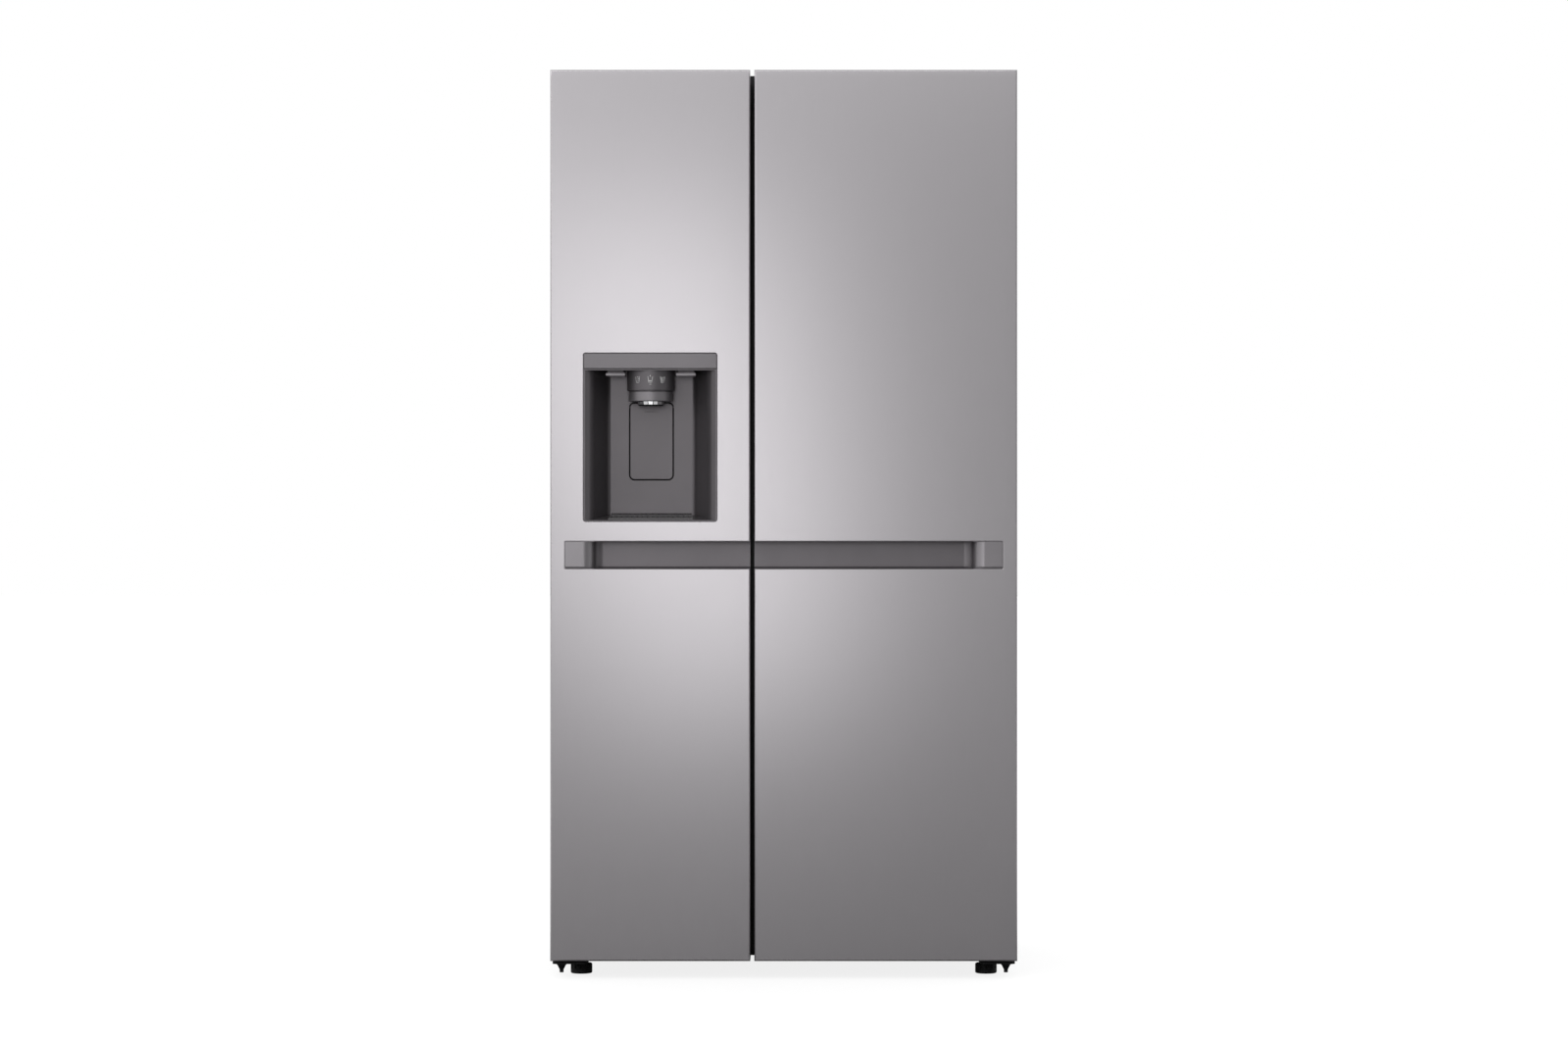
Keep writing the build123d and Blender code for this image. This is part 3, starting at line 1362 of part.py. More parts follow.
def add_fridge_door():
    span = fridge_door_x
    levels = bin_levels(FRIDGE_BIN_COUNT, cavity_roof_z - DIKE_END_GAP - DIKE_WIDTH)
    grip = grip_envelope(span, 1)
    foam = door_prism(
        span, DOOR_SKIN, door_back_y - DOOR_LINER, DOOR_BOTTOM_Z + DOOR_CAP, cap_top_z - DOOR_CAP
    )
    pieces["fridge_door_skin"] = make_skin(span) - grip
    rows = grip_rows() + [(cap_top_z - DOOR_CAP, [])]
    pieces["fridge_door_foam"] = Compound(foam_blocks(foam - grip, rows) + dike_core_bars(fridge_x, 1))
    pieces["fridge_door_liner"] = make_door_liner(span, fridge_x, 1, levels)
    pieces["fridge_door_caps"] = make_caps(span, pin_x)
    pieces["fridge_door_gasket"] = make_gasket(span, 1)
    pieces["fridge_door_grip"] = make_grip(span, 1)
    pieces["fridge_door_bins"] = make_bins(fridge_x, 1, levels)


def add_cabinet():
    strip_left = DOOR_SPLIT_X - MULLION_STRIP_HALF
    strip_right = DOOR_SPLIT_X + MULLION_STRIP_HALF
    pieces["outer_case"] = make_outer_case()
    pieces["back_panel"] = make_back_panel()
    pieces["base_pan"] = make_base_pan()
    pieces["cabinet_foam"] = make_cabinet_foam()
    pieces["freezer_liner"] = make_liner(
        freezer_x, (case_x0 + FLANGE, strip_left), air_panel_y, FREEZER_SHELF_COUNT
    )
    pieces["fridge_liner"] = make_liner(
        fridge_x, (strip_right, case_x1 - FLANGE), duct_y, FRIDGE_SHELF_COUNT
    )
    pieces["mullion_strip"] = make_mullion_strip()
    pieces["top_cover"] = make_top_cover()


def add_hinges():
    upper = make_upper_hinge()
    lower = make_lower_hinge()
    cover = make_hinge_cover()
    pins = [make_upper_pin(), make_lower_pin()]
    pieces["upper_hinges"] = Part() + [upper, mirrored(upper)]
    pieces["lower_hinge_left"] = lower
    pieces["lower_hinge_right"] = mirrored(lower)
    pieces["hinge_covers"] = Part() + [cover, mirrored(cover)]
    pieces["hinge_pins"] = Part() + pins + [mirrored(pin) for pin in pins]
    pieces["screws"] = make_screws()


def add_feet():
    foot = make_foot()
    roller = make_roller()
    pieces["levelling_foot_left"] = foot
    pieces["levelling_foot_right"] = mirrored(foot)
    pieces["rear_roller_left"] = roller
    pieces["rear_roller_right"] = mirrored(roller)


def add_interior():
    freezer_back = air_panel_y - DRAWER_BACK_GAP
    fridge_back = duct_y - DRAWER_BACK_GAP
    lower_back = step_y - DRAWER_BACK_GAP
    pieces["freezer_shelves"] = make_shelves(freezer_x, freezer_back, FREEZER_SHELF_COUNT)
    pieces["fridge_shelves"] = make_shelves(fridge_x, fridge_back, FRIDGE_SHELF_COUNT)
    pieces["lower_freezer_drawer"] = make_drawer(freezer_x, lower_drawer_z, lower_back)
    pieces["upper_freezer_drawer"] = make_drawer(freezer_x, upper_drawer_z, freezer_back)
    pieces["lower_crisper"] = make_drawer(fridge_x, lower_drawer_z, lower_back)
    pieces["upper_crisper"] = make_drawer(fridge_x, upper_drawer_z, fridge_back)
    pieces["evaporator_cover"] = make_evaporator_cover()
    pieces["evaporator_fan"] = make_evaporator_fan()
    pieces["evaporator"] = make_evaporator()
    pieces["fridge_duct"] = make_fridge_duct()
    pieces["cabinet_lamps"] = make_lamps()
    pieces["water_tank"] = make_water_tank()


def add_machine_room():
    pieces["compressor"] = make_compressor()
    pieces["rubber_grommets"] = make_grommets()
    pieces["fan_shroud"] = make_fan_shroud()
    pieces["condenser_fan"] = make_condenser_fan()
    pieces["condenser"] = make_condenser()
    pieces["drain_pan"] = make_drain_pan()
    pieces["machine_cover"] = make_machine_cover()


add_cabinet()
add_hinges()
add_feet()
add_interior()
add_machine_room()
add_freezer_door()
add_fridge_door()

os.makedirs("parts", exist_ok=True)
for name, shape in pieces.items():
    export_step(shape, f"parts/{name}.step")
print(len(pieces), "pieces")
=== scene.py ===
import json
import math

import bmesh
import bpy
from mathutils import Matrix, Vector


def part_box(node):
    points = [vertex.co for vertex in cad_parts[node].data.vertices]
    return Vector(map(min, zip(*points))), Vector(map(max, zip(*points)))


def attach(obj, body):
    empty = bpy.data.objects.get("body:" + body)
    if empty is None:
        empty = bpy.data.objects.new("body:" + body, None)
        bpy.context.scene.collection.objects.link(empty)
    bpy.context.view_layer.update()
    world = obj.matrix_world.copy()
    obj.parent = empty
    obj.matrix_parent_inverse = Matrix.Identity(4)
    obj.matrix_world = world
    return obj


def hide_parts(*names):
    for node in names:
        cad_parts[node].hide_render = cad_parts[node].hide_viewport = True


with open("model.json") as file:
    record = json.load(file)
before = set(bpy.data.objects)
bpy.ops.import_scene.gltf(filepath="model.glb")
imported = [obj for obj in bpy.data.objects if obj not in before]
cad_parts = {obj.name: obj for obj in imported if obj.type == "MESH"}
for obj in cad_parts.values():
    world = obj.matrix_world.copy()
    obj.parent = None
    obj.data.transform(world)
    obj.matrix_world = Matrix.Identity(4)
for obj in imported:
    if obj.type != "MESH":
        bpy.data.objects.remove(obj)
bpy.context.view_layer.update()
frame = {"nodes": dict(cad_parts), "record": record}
scene = bpy.context.scene
nodes = frame["nodes"]

# Places read from the frame, in metres
freezer_low, freezer_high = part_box("freezer_door_skin")
fridge_low, fridge_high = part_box("fridge_door_skin")
freezer_grip_low, freezer_grip_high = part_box("freezer_door_grip")
_, fridge_grip_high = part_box("fridge_door_grip")
housing_low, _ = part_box("dispenser_housing")
fascia_low, fascia_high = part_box("dispenser_fascia")
spout_low, spout_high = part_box("dispenser_spout")
nozzle_low, nozzle_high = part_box("dispenser_nozzle")
paddle_low, paddle_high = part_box("dispenser_paddle")
tray_low, tray_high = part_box("drip_tray")
case_low, case_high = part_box("outer_case")
front_y = freezer_low.y
door_back_y = freezer_high.y
case_front_y = case_low.y
dispenser_x = (fascia_low.x + fascia_high.x) / 2

# Directions, and the distance within which points lie together
FRONT = Vector((0, -1, 0))
UP = Vector((0, 0, 1))
AXES = {"x": Vector((1, 0, 0)), "y": Vector((0, 1, 0)), "z": Vector((0, 0, 1))}
TOUCH = 1e-6
ON_PLANE = 1e-7

# Angles in radians past which an edge counts as a fold
SLIGHT_FOLD = 0.5
DOOR_FOLD = 0.8
TRAY_FOLD = 1.0
SQUARE_FOLD = 1.2

# Door sheets
SHEET = 0.0012
DOOR_EDGE_R = 0.003
HEM = 0.009
LIP_RISE = 0.0135
OPENING_R = 0.005
OPENING_EDGE_R = 0.0012
NOTCH_R = 0.003
NOTCH_ROOM = 0.003
FOAM_FRONT_SET = 0.012
FOAM_BACK_SET = 0.0025

# Recessed grips
GRIP_H = 0.055
GRIP_DEPTH = 0.030
GRIP_FLAT = 0.0520
GRIP_FLAT_R = 0.0236
GRIP_RAMP_RUN = 0.010
GRIP_FLOOR_R = 0.014
GRIP_SEAM = 0.0012
GRIP_SINK = 0.0006
GRIP_FOOT_H = 0.0040
GRIP_FOOT_SET = 0.0012
GRIP_FLANGE = 0.0026
GRIP_CORNER_R = 0.0025
GRIP_CREASE_R = 0.0008
GRIP_CREASE_STOP = 0.004
# Reach from the grip's outer end past which its floor takes painted shade
GRIP_PAINTED_SHADE_FROM = 0.0575
grip_z0 = freezer_grip_high.z - GRIP_H
grip_z1 = freezer_grip_high.z

# Dispenser recess
HOUSING_DEPTH = 0.080
HOUSING_BACK_W = 0.171
HOUSING_CORNER_R = 0.006
HOUSING_RIM = 0.003
HOUSING_RIM_TURN = 0.004
HOUSING_LIP_R = 0.0011
HOUSING_FLARE_X = 0.014
HOUSING_FLARE_Y = 0.011
HOUSING_FLARE_R = 0.011
HOUSING_SEAM = 0.0008
HOUSING_FLOOR_RISE = 0.0095
GROOVE_Z = 0.9072
GROOVE_H = 0.0020
GROOVE_DEPTH = 0.003
GROOVE_DRAFT = 0.0001
LEDGE_NEAR = 0.0498
LEDGE_FAR = 0.0885
LEDGE_Z = 1.1848
LEDGE_H = 0.0062
LEDGE_R = 0.0022
LEDGE_REACH = 0.052
LEDGE_BLOCK_SET = 0.003
LEDGE_BLOCK_FRONT_SET = 0.004
LEDGE_BLOCK_LAP = 0.002
LEDGE_BLOCK_ROOT = 0.0005
LEDGE_BLOCK_R = 0.0010
FASCIA_SINK = 0.0004
PLATE_EDGE_R = 0.0012
housing_back_y = front_y + HOUSING_DEPTH

# Dispenser spout, nozzle, paddle and drip tray
SPOUT_SETBACK = 0.050
SPOUT_R = 0.0470
SPOUT_RING_H = 0.0388
SPOUT_GROOVE = 0.0028
SPOUT_GROOVE_DEPTH = 0.0045
SPOUT_COLLAR_R = 0.0440
SPOUT_EASING = 0.0006
SPOUT_BORE_H = 0.012
PICTOGRAM_Z = 1.1642
PICTOGRAM_TURNS = {"crushed": -0.56, "water": 0.0, "cubes": 0.54}
PICTOGRAM_PROUD = 0.0001
PICTOGRAM_FILM = 0.00025
NOZZLE_SIDES = 16
NOZZLE_R = 0.0260
NOZZLE_TIP_R = 0.0250
NOZZLE_BORE_R = 0.0190
NOZZLE_BORE_H = 0.004
NOZZLE_LIP_H = 0.0018
NOZZLE_LIP_LAP = 0.0004
NOZZLE_GAP = 0.0006
FACET_SEAM = 0.0005
FACET_DRAFT = 0.0004
FACET_RISE = 0.0005
PADDLE_HALF_W = 0.0423
PADDLE_GAP = 0.0022
PADDLE_R = 0.009
PADDLE_THICK = 0.004
PADDLE_POCKET = 0.016
PADDLE_MARK_Z = 1.1080
PADDLE_MARK_H = 0.0022
PADDLE_MARK_HALF_W = 0.013
PADDLE_MARK_DEPTH = 0.0005
PADDLE_PIN_Z = 1.1184
PADDLE_PIN_R = 0.0015
PADDLE_PIN_L = 0.004
TRAY_SLOTS = 16
TRAY_FRONT_H = 0.0035
TRAY_MARGIN = 0.008
TRAY_SLOT_SEAM = 0.0004
TRAY_SLOT_DRAFT = 0.0003
TRAY_SLOT_DEPTH = 0.0028
TRAY_CORNER_R = 0.0015
TRAY_CORNER_MIN = 0.002
spout_y = front_y + SPOUT_SETBACK

# Cabinet outside
FLANGE = 0.026
CASE_EDGE_R = 0.0035
BACK_MARGIN = 0.045
BACK_FIELDS = 3
BACK_PRESSINGS = ((0.006, 0.0007), (0.004, 0.0003))
BACK_SCREWS = 7
BACK_SCREW_IN = 0.014
BACK_SCREW_END = 0.03
SCREW_SIDES = 20
SCREW_R = 0.0045
SCREW_TAPER = 0.7
SCREW_H = 0.0012
TRIM_WALL = 0.003
TRIM_EDGE_R = 0.0009
TRIM_RIBS_X = (-0.28, 0.0, 0.28)
TRIM_RIB_HALF_W = 0.05
TRIM_RIB_IN = 0.016
TRIM_RIB_D = 0.004
TRIM_RIB_H = 0.0006
TRIM_RIB_R = 0.0002
HOOD_W = 0.072
HOOD_LEAN = 0.022
HOOD_R = 0.010
HOOD_CORNER_R = 0.004
HOOD_CORNER_MIN = 0.02
NOSE_X = 0.4365
NOSE_HALF_W = 0.0175
NOSE_Z0 = 1.763
NOSE_Z1 = 1.7775
NOSE_ROOT = 0.012
NOSE_R = 0.003
MULLION_RIB_HALF_W = 0.003
MULLION_RIB_Z0 = 0.098
MULLION_RIB_Z1 = 1.716
MULLION_RIB_ROOT = 0.0006
MULLION_RIB_R = 0.0006
MULLION_R = 0.0004

# Doors, inside
DIKE_RISE = 0.062
DIKE_WIDTH = 0.026
DIKE_R = 0.024
DIKE_ROOT = 0.0005
LEAST_CORNER_R = 0.004
DIKE_Z0 = 0.132
DIKE_Z1 = 1.680
PANEL = 0.002
PANEL_R = 0.0006
NUB_W = 0.006
NUB_H = 0.008
NUB_REACH = 0.044
NUB_ROOT = 0.001
NUB_R = 0.0012
PIN_Y = -0.3205
CAP_H = 0.020
CAP_LAP = 0.004
CAP_SEAM = 0.0002
CAP_LIP_SEAM = 0.0004
CAP_LIFT = 0.0008
CAP_R = 0.0010
CAP_LIP_R = 0.0008
BUSH_R = 0.0115
BUSH_BORE_R = 0.0062
BUSH_H = 0.004
BIN_H = 0.096
BIN_R = 0.009
BIN_FOOT_R = 0.004
BIN_BAND = 0.016
BIN_SEAT = 0.0003
BIN_WALL = 0.0025
BIN_RIM_R = 0.0005
ICE_BIN_FOOT_R = 0.006
ICE_BIN_BAND = 0.014
BUCKET_Z = 1.290
BUCKET_LEDGE_R = 0.0015
freezer_dike = (-0.3878, -0.1085, DIKE_Z0, DIKE_Z1)
fridge_dike = (-0.0145, 0.3998, DIKE_Z0, DIKE_Z1)
freezer_bin_levels = [0.166 + index * 0.279 for index in range(4)]
fridge_bin_levels = [0.166 + index * 0.2976 for index in range(5)]

# Compartments
FLOOR_Z = 0.122
STEP_Z = 0.300
STEP_Y0 = 0.0705
STEP_Y1 = 0.1155
BACK_Y = 0.3015
ROOF_Z = 1.690
LINER_R = 0.018
LINER_SIDE_R = 0.010
LINER_WALL = 0.0012
RAIL_W = 0.008
RAIL_H = 0.006
RAIL_START = 0.014
RAIL_ROOT = 0.0005
RAIL_SEAM = 0.0001
RAIL_R = 0.0014
SHELF_FRONT = -0.1305
SHELF_GAP = 0.001
SHELF_BAR_D = 0.007
SHELF_BAR_HALF_H = 0.007
SHELF_BAR_R = 0.0024
SHELF_RIM_W = 0.008
SHELF_RIM_H = 0.0062
SHELF_RIM_R = 0.0014
SHELF_LAP = 0.001
GLASS_Z0 = 0.0006
GLASS_Z1 = 0.0048
GLASS_IN = 0.004
GLASS_FRONT_IN = 0.005
GLASS_R = 0.0005
FREEZER_SHELF_BACK = 0.2055
FRIDGE_SHELF_BACK = 0.2735
DRAWER_FRONT = -0.1065
DRAWER_R = 0.008
DRAWER_FOOT_R = 0.006
DRAWER_BAND = 0.016
DRAWER_GRIP_H = 0.006
DRAWER_GRIP_ROOT = 0.002
DRAWER_GRIP_R = 0.0022
TANK_R = 0.014
TANK_CAP_R = 0.028
TANK_CAP_H = 0.014
TANK_CAP_Y = 0.076
TANK_CAP_EDGE = 0.002
TANK_CAP_RIM = 0.006
TANK_CAP_DRAFT = 0.001
TANK_CAP_SINK = 0.0012
TANK_CAP_ROOT = 0.001
FAN_X = -0.24215
FAN_Z = 1.540
GUARD_RINGS = (0.030, 0.040, 0.050)
GUARD_WIRE_HALF = 0.0009
GUARD_IN = 0.0015
freezer_span = (-0.3958, -0.0885)
fridge_span = (-0.0345, 0.4078)
shelf_levels = [0.4725 + index * 0.304375 for index in range(4)]

# Camera and studio; a pair holds both ends of a change, or the values there
CAMERA_REACH = 8.0
CAMERA_X = 0.0005
CAMERA_Z = 0.895
SENSOR_W = 36
VIEW_W = 3.0635
SKY_RISE = (-0.045, 0.11)
SKY_SIDES = (-0.5, 0.5)
SKY_STRENGTHS = (1.92, 0.352)
ZENITH_RISE = (0.80, 0.97)
ZENITH_STRENGTHS = (1.4, 0.4)
SKY_FRONT = (-0.05, -0.60)
FLOOR_HALF = 40
FLOOR_GREY = 0.14
FLOOR_ROUGH = 0.9
FLOOR_SEEN = 0.84
FLOOR_MIRRORED = 0.8
FLOOR_STRIP = (0.6, 1.7)
FLOOR_FADE = (-7.0, -2.5)

# The middle range that most of a noise lies in
NOISE_MIDDLE = (0.3, 0.7)


# Shader nodes
def new_finish(name):
    material = bpy.data.materials.new(name)
    material.use_nodes = True
    tree = material.node_tree
    return material, tree, tree.nodes["Principled BSDF"]


def split_place(tree, kind):
    """The three axes of a kind of texture coordinates."""
    place = tree.nodes.new("ShaderNodeTexCoord")
    split = tree.nodes.new("ShaderNodeSeparateXYZ")
    tree.links.new(place.outputs[kind], split.inputs["Vector"])
    return split.outputs


def map_range(tree, source, reach, limits, kind="LINEAR"):
    """Brings a value from the ends of reach to the two limits."""
    node = tree.nodes.new("ShaderNodeMapRange")
    node.interpolation_type = kind
    for name, value in zip(("From Min", "From Max", "To Min", "To Max"), (*reach, *limits)):
        node.inputs[name].default_value = value
    tree.links.new(source, node.inputs["Value"])
    return node.outputs["Result"]


def combine(tree, operation, *sources):
    node = tree.nodes.new("ShaderNodeMath")
    node.operation = operation
    for socket, source in zip(node.inputs, sources):
        tree.links.new(source, socket)
    return node.outputs["Value"]


def seen_directly(tree):
    """One for a ray from the camera, also through glass."""
    path = tree.nodes.new("ShaderNodeLightPath")
    return combine(tree, "MAXIMUM", path.outputs["Is Camera Ray"], path.outputs["Is Transmission Ray"])


def object_noise(tree, scale, stretch=(1, 1, 1), detail=3.0, roughness=0.55):
    """Noise on Object coordinates, stretched along the axes by the three factors."""
    place = tree.nodes.new("ShaderNodeTexCoord")
    turn = tree.nodes.new("ShaderNodeMapping")
    turn.inputs["Scale"].default_value = stretch
    noise = tree.nodes.new("ShaderNodeTexNoise")
    noise.inputs["Scale"].default_value = scale
    noise.inputs["Detail"].default_value = detail
    noise.inputs["Roughness"].default_value = roughness
    tree.links.new(place.outputs["Object"], turn.inputs["Vector"])
    tree.links.new(turn.outputs["Vector"], noise.inputs["Vector"])
    return noise.outputs["Fac"]


def tinted(tree, source, colour, shift):
    """Colour that drifts by the share shift with the noise."""
    ramp = tree.nodes.new("ShaderNodeValToRGB")
    for stop, place, share in zip(ramp.color_ramp.elements, NOISE_MIDDLE, (1 - shift, 1 + shift)):
        stop.position = place
        stop.color = [min(channel * share, 1) for channel in colour] + [1]
    tree.links.new(source, ramp.inputs["Fac"])
    return ramp.outputs["Color"]


def roughened(tree, source, strength, distance):
    bump = tree.nodes.new("ShaderNodeBump")
    bump.inputs["Strength"].default_value = strength
    bump.inputs["Distance"].default_value = distance
    tree.links.new(source, bump.inputs["Height"])
    return bump.outputs["Normal"]


# Finishes by name; those of the CAD nodes have the names of the record's material slots
finishes = {}


def moulded_plastic(
    name, colour, roughness, grain=1400, depth=0.12, shift=0.05, metallic=0.0, coat=0.0, specular=0.5,
):
    """Moulded plastic with a fine eroded grain and a slow drift of its colour; gives its shader."""
    material, tree, shader = new_finish(name)
    fine = object_noise(tree, grain)
    slow = object_noise(tree, 9, detail=4)
    rough = map_range(tree, fine, NOISE_MIDDLE, (roughness - 0.05, roughness + 0.05))
    tree.links.new(tinted(tree, slow, colour, shift), shader.inputs["Base Color"])
    tree.links.new(rough, shader.inputs["Roughness"])
    tree.links.new(roughened(tree, fine, depth, 0.0002), shader.inputs["Normal"])
    shader.inputs["Metallic"].default_value = metallic
    shader.inputs["Specular IOR Level"].default_value = specular
    shader.inputs["Coat Weight"].default_value = coat
    shader.inputs["Coat Roughness"].default_value = 0.15
    finishes[name] = material
    return shader


def rolled_metal(name, colour, roughness, scale, stretch=(1, 1, 1), depth=0.04, shift=0.02):
    """Metal with a drawn or brushed grain along the axis of the smallest stretch."""
    material, tree, shader = new_finish(name)
    grain = object_noise(tree, scale, stretch, detail=4, roughness=0.6)
    rough = map_range(tree, grain, NOISE_MIDDLE, (roughness - 0.025, roughness + 0.025))
    tree.links.new(tinted(tree, grain, colour, shift), shader.inputs["Base Color"])
    tree.links.new(rough, shader.inputs["Roughness"])
    tree.links.new(roughened(tree, grain, depth, 0.0001), shader.inputs["Normal"])
    shader.inputs["Metallic"].default_value = 1.0
    finishes[name] = material


def clear_part(name, colour, roughness, transmission=0.92):
    """Clear glass or polystyrene with faint flow marks."""
    material, tree, shader = new_finish(name)
    flow = object_noise(tree, 40)
    rough = map_range(tree, flow, NOISE_MIDDLE, (roughness * 0.7, roughness * 1.3))
    tree.links.new(tinted(tree, flow, colour, 0.03), shader.inputs["Base Color"])
    tree.links.new(rough, shader.inputs["Roughness"])
    shader.inputs["Transmission Weight"].default_value = transmission
    shader.inputs["IOR"].default_value = 1.18
    finishes[name] = material


# Metals
rolled_metal("door_silver", (0.379, 0.364, 0.379), 0.32, 5, (420, 420, 5), depth=0.03, shift=0.012)
rolled_metal("galvanised_sheet", (0.52, 0.53, 0.54), 0.38, 55, depth=0.05, shift=0.12)
rolled_metal("hinge_steel", (0.35, 0.35, 0.3438), 0.34, 90, depth=0.06, shift=0.08)
rolled_metal("pin_steel", (0.3875, 0.3875, 0.3875), 0.34, 160, depth=0.008)
rolled_metal("fin_aluminium", (0.78, 0.79, 0.80), 0.30, 4, (30, 30, 300), depth=0.05)
rolled_metal("nozzle_chrome", (0.80, 0.80, 0.81), 0.30, 300, depth=0.01)

# Clear plastic and glass
clear_part("shelf_glass", (0.90, 0.965, 0.95), 0.03)
clear_part("clear_plastic", (0.93, 0.965, 0.98), 0.08)
clear_part("tank_frost", (0.90, 0.93, 0.95), 0.45, transmission=0.35)

# Paint, foam, rubber and white or light grey plastic
moulded_plastic("case_paint", (0.24, 0.245, 0.25), 0.42, grain=900, depth=0.25, shift=0.03)
moulded_plastic("foam", (0.80, 0.72, 0.48), 0.85, grain=300, depth=0.5)
moulded_plastic("liner_white", (0.80, 0.815, 0.82), 0.32, grain=260, depth=0.06, shift=0.012)
moulded_plastic("gasket_grey", (0.30, 0.305, 0.31), 0.62, grain=1000, depth=0.1)
moulded_plastic("ledge_grey", (0.55, 0.52, 0.55), 0.40, grain=1500, depth=0.05)
moulded_plastic("shelf_trim", (0.58, 0.60, 0.61), 0.34, grain=1200, depth=0.06)
moulded_plastic("pictogram_grey", (0.5125, 0.5125, 0.5125), 0.5, grain=1500)
moulded_plastic("ice_maker_grey", (0.62, 0.63, 0.64), 0.42, grain=1100)
moulded_plastic("fan_white", (0.75, 0.75, 0.74), 0.42, grain=1100)
moulded_plastic("cap_grey", (0.1375, 0.1406, 0.1437), 0.48, grain=1300, depth=0.18)
lens_shader = moulded_plastic("lamp_lens", (0.90, 0.90, 0.88), 0.30, grain=500, depth=0.1)
lens_shader.inputs["Emission Color"].default_value = (1.0, 0.97, 0.92, 1)
lens_shader.inputs["Emission Strength"].default_value = 12.0

# Black plastic, rubber and enamel
moulded_plastic("base_black", (0.0175, 0.0175, 0.01875), 0.38, grain=700, specular=0.15)
moulded_plastic("mullion_grey", (0.01, 0.01, 0.01125), 0.36, grain=900, specular=0.15)
moulded_plastic("black_plastic", (0.01125, 0.01125, 0.0125), 0.45, grain=1500, depth=0.2, specular=0.15)
moulded_plastic("hinge_black", (0.01, 0.01, 0.01125), 0.35, grain=800, specular=0.15)
moulded_plastic("compressor_black", (0.014, 0.014, 0.015), 0.22, grain=220, depth=0.05, coat=0.4)
moulded_plastic("black_rubber", (0.0125, 0.0125, 0.0125), 0.75, grain=1100, depth=0.2)
moulded_plastic("coil_black", (0.022, 0.022, 0.022), 0.5, grain=900)

# Plastic with metal flake on the grips and the dispenser
moulded_plastic("grip_grey", (0.222, 0.211, 0.222), 0.40, grain=1700, depth=0.06, metallic=0.85)
# The grip's floor finish is a darker copy of grip_grey: painted shade of the grip's recess
moulded_plastic("grip_floor_painted_shade", (0.135, 0.126, 0.134), 0.45, grain=1700, depth=0.06, metallic=0.8)
moulded_plastic("dispenser_grey", (0.090, 0.083, 0.089), 0.35, grain=1700, depth=0.06, metallic=0.6)
moulded_plastic("fascia_grey", (0.125, 0.118, 0.125), 0.36, grain=1700, depth=0.06, metallic=0.8)
moulded_plastic("spout_grey", (0.112, 0.105, 0.112), 0.50, grain=1500, depth=0.05, metallic=0.8)
moulded_plastic("collar_grey", (0.190, 0.180, 0.190), 0.48, grain=1500, depth=0.05, metallic=0.8)
moulded_plastic("tray_grey", (0.09375, 0.09187, 0.09375), 0.42, grain=1500, depth=0.1, metallic=0.4)

for row in frame["record"]["subparts"]:
    mesh = nodes[row["node"]].data
    mesh.materials.clear()
    mesh.materials.append(finishes[row["material_slot"]])
nodes["hinge_pins"].data.materials[0] = finishes["hinge_black"]


# Tests of places
def near(a, b):
    return abs(a - b) < TOUCH


def within(value, low, high):
    return low + TOUCH < value < high - TOUCH


def lies_at(part, **places):
    """True for an edge or face whose corners all lie at the given x, y or z."""
    return all(near(getattr(vert.co, axis), place) for vert in part.verts for axis, place in places.items())


def creased(edge, angle):
    """True for an edge between two faces that turn by more than the angle in radians."""
    return len(edge.link_faces) == 2 and edge.calc_face_angle() > angle


def height_of(edge):
    return abs(edge.verts[0].co.z - edge.verts[1].co.z)


def open_edges(bm):
    return [edge for edge in bm.edges if edge.is_boundary]


# Mesh helpers
def merge(bm):
    bmesh.ops.remove_doubles(bm, verts=bm.verts, dist=TOUCH)


def look_along(bm, face, way):
    """Turns all faces round if this one looks against the way."""
    if face.normal.dot(way) < 0:
        bmesh.ops.reverse_faces(bm, faces=bm.faces)


def settle(bm, outward=None):
    """Merges doubles and turns the faces outwards; outward is the way that most of them look."""
    merge(bm)
    bmesh.ops.recalc_face_normals(bm, faces=bm.faces)
    bm.normal_update()
    if outward and sum(face.normal.dot(outward) * face.calc_area() for face in bm.faces) < 0:
        bmesh.ops.reverse_faces(bm, faces=bm.faces)
        bm.normal_update()


def soften(bm, edges, radius, segments=3):
    bmesh.ops.bevel(
        bm, geom=list(edges), offset=radius, segments=segments, profile=0.5, affect="EDGES",
        material=-1, clamp_overlap=True,
    )
    bm.normal_update()


def round_corners(bm, verts, radius, segments=6):
    bmesh.ops.bevel(
        bm, geom=list(verts), offset=radius, segments=segments, profile=0.5, affect="VERTICES",
        material=-1, clamp_overlap=True,
    )


def cut(bm, axis, place, faces=None):
    """Cuts the faces, or all of them, square to an axis."""
    chosen = bm.faces[:] if faces is None else faces
    geom = dict.fromkeys(part for face in chosen for part in (face, *face.edges, *face.verts))
    bmesh.ops.bisect_plane(
        bm, geom=list(geom), plane_co=AXES[axis] * place, plane_no=AXES[axis], dist=ON_PLANE
    )
    bm.normal_update()


def trim(bm, y, way):
    """Takes away what lies past a plane of one depth, to the front or to the rear."""
    geom = bm.verts[:] + bm.edges[:] + bm.faces[:]
    bmesh.ops.bisect_plane(
        bm, geom=geom, plane_co=(0, y, 0), plane_no=(0, way, 0), dist=ON_PLANE, clear_outer=True
    )
    bm.normal_update()


def draw_out(bm, edges, shift=(0, 0, 0)):
    """Extrudes edges by a shift; gives the new corners, the edges between them and the new faces."""
    made = bmesh.ops.extrude_edge_only(bm, edges=edges)["geom"]
    verts = [part for part in made if isinstance(part, bmesh.types.BMVert)]
    faces = [part for part in made if isinstance(part, bmesh.types.BMFace)]
    bmesh.ops.translate(bm, verts=verts, vec=shift)
    known = set(verts)
    far = [part for part in made if isinstance(part, bmesh.types.BMEdge) and known.issuperset(part.verts)]
    bm.normal_update()
    return verts, far, faces


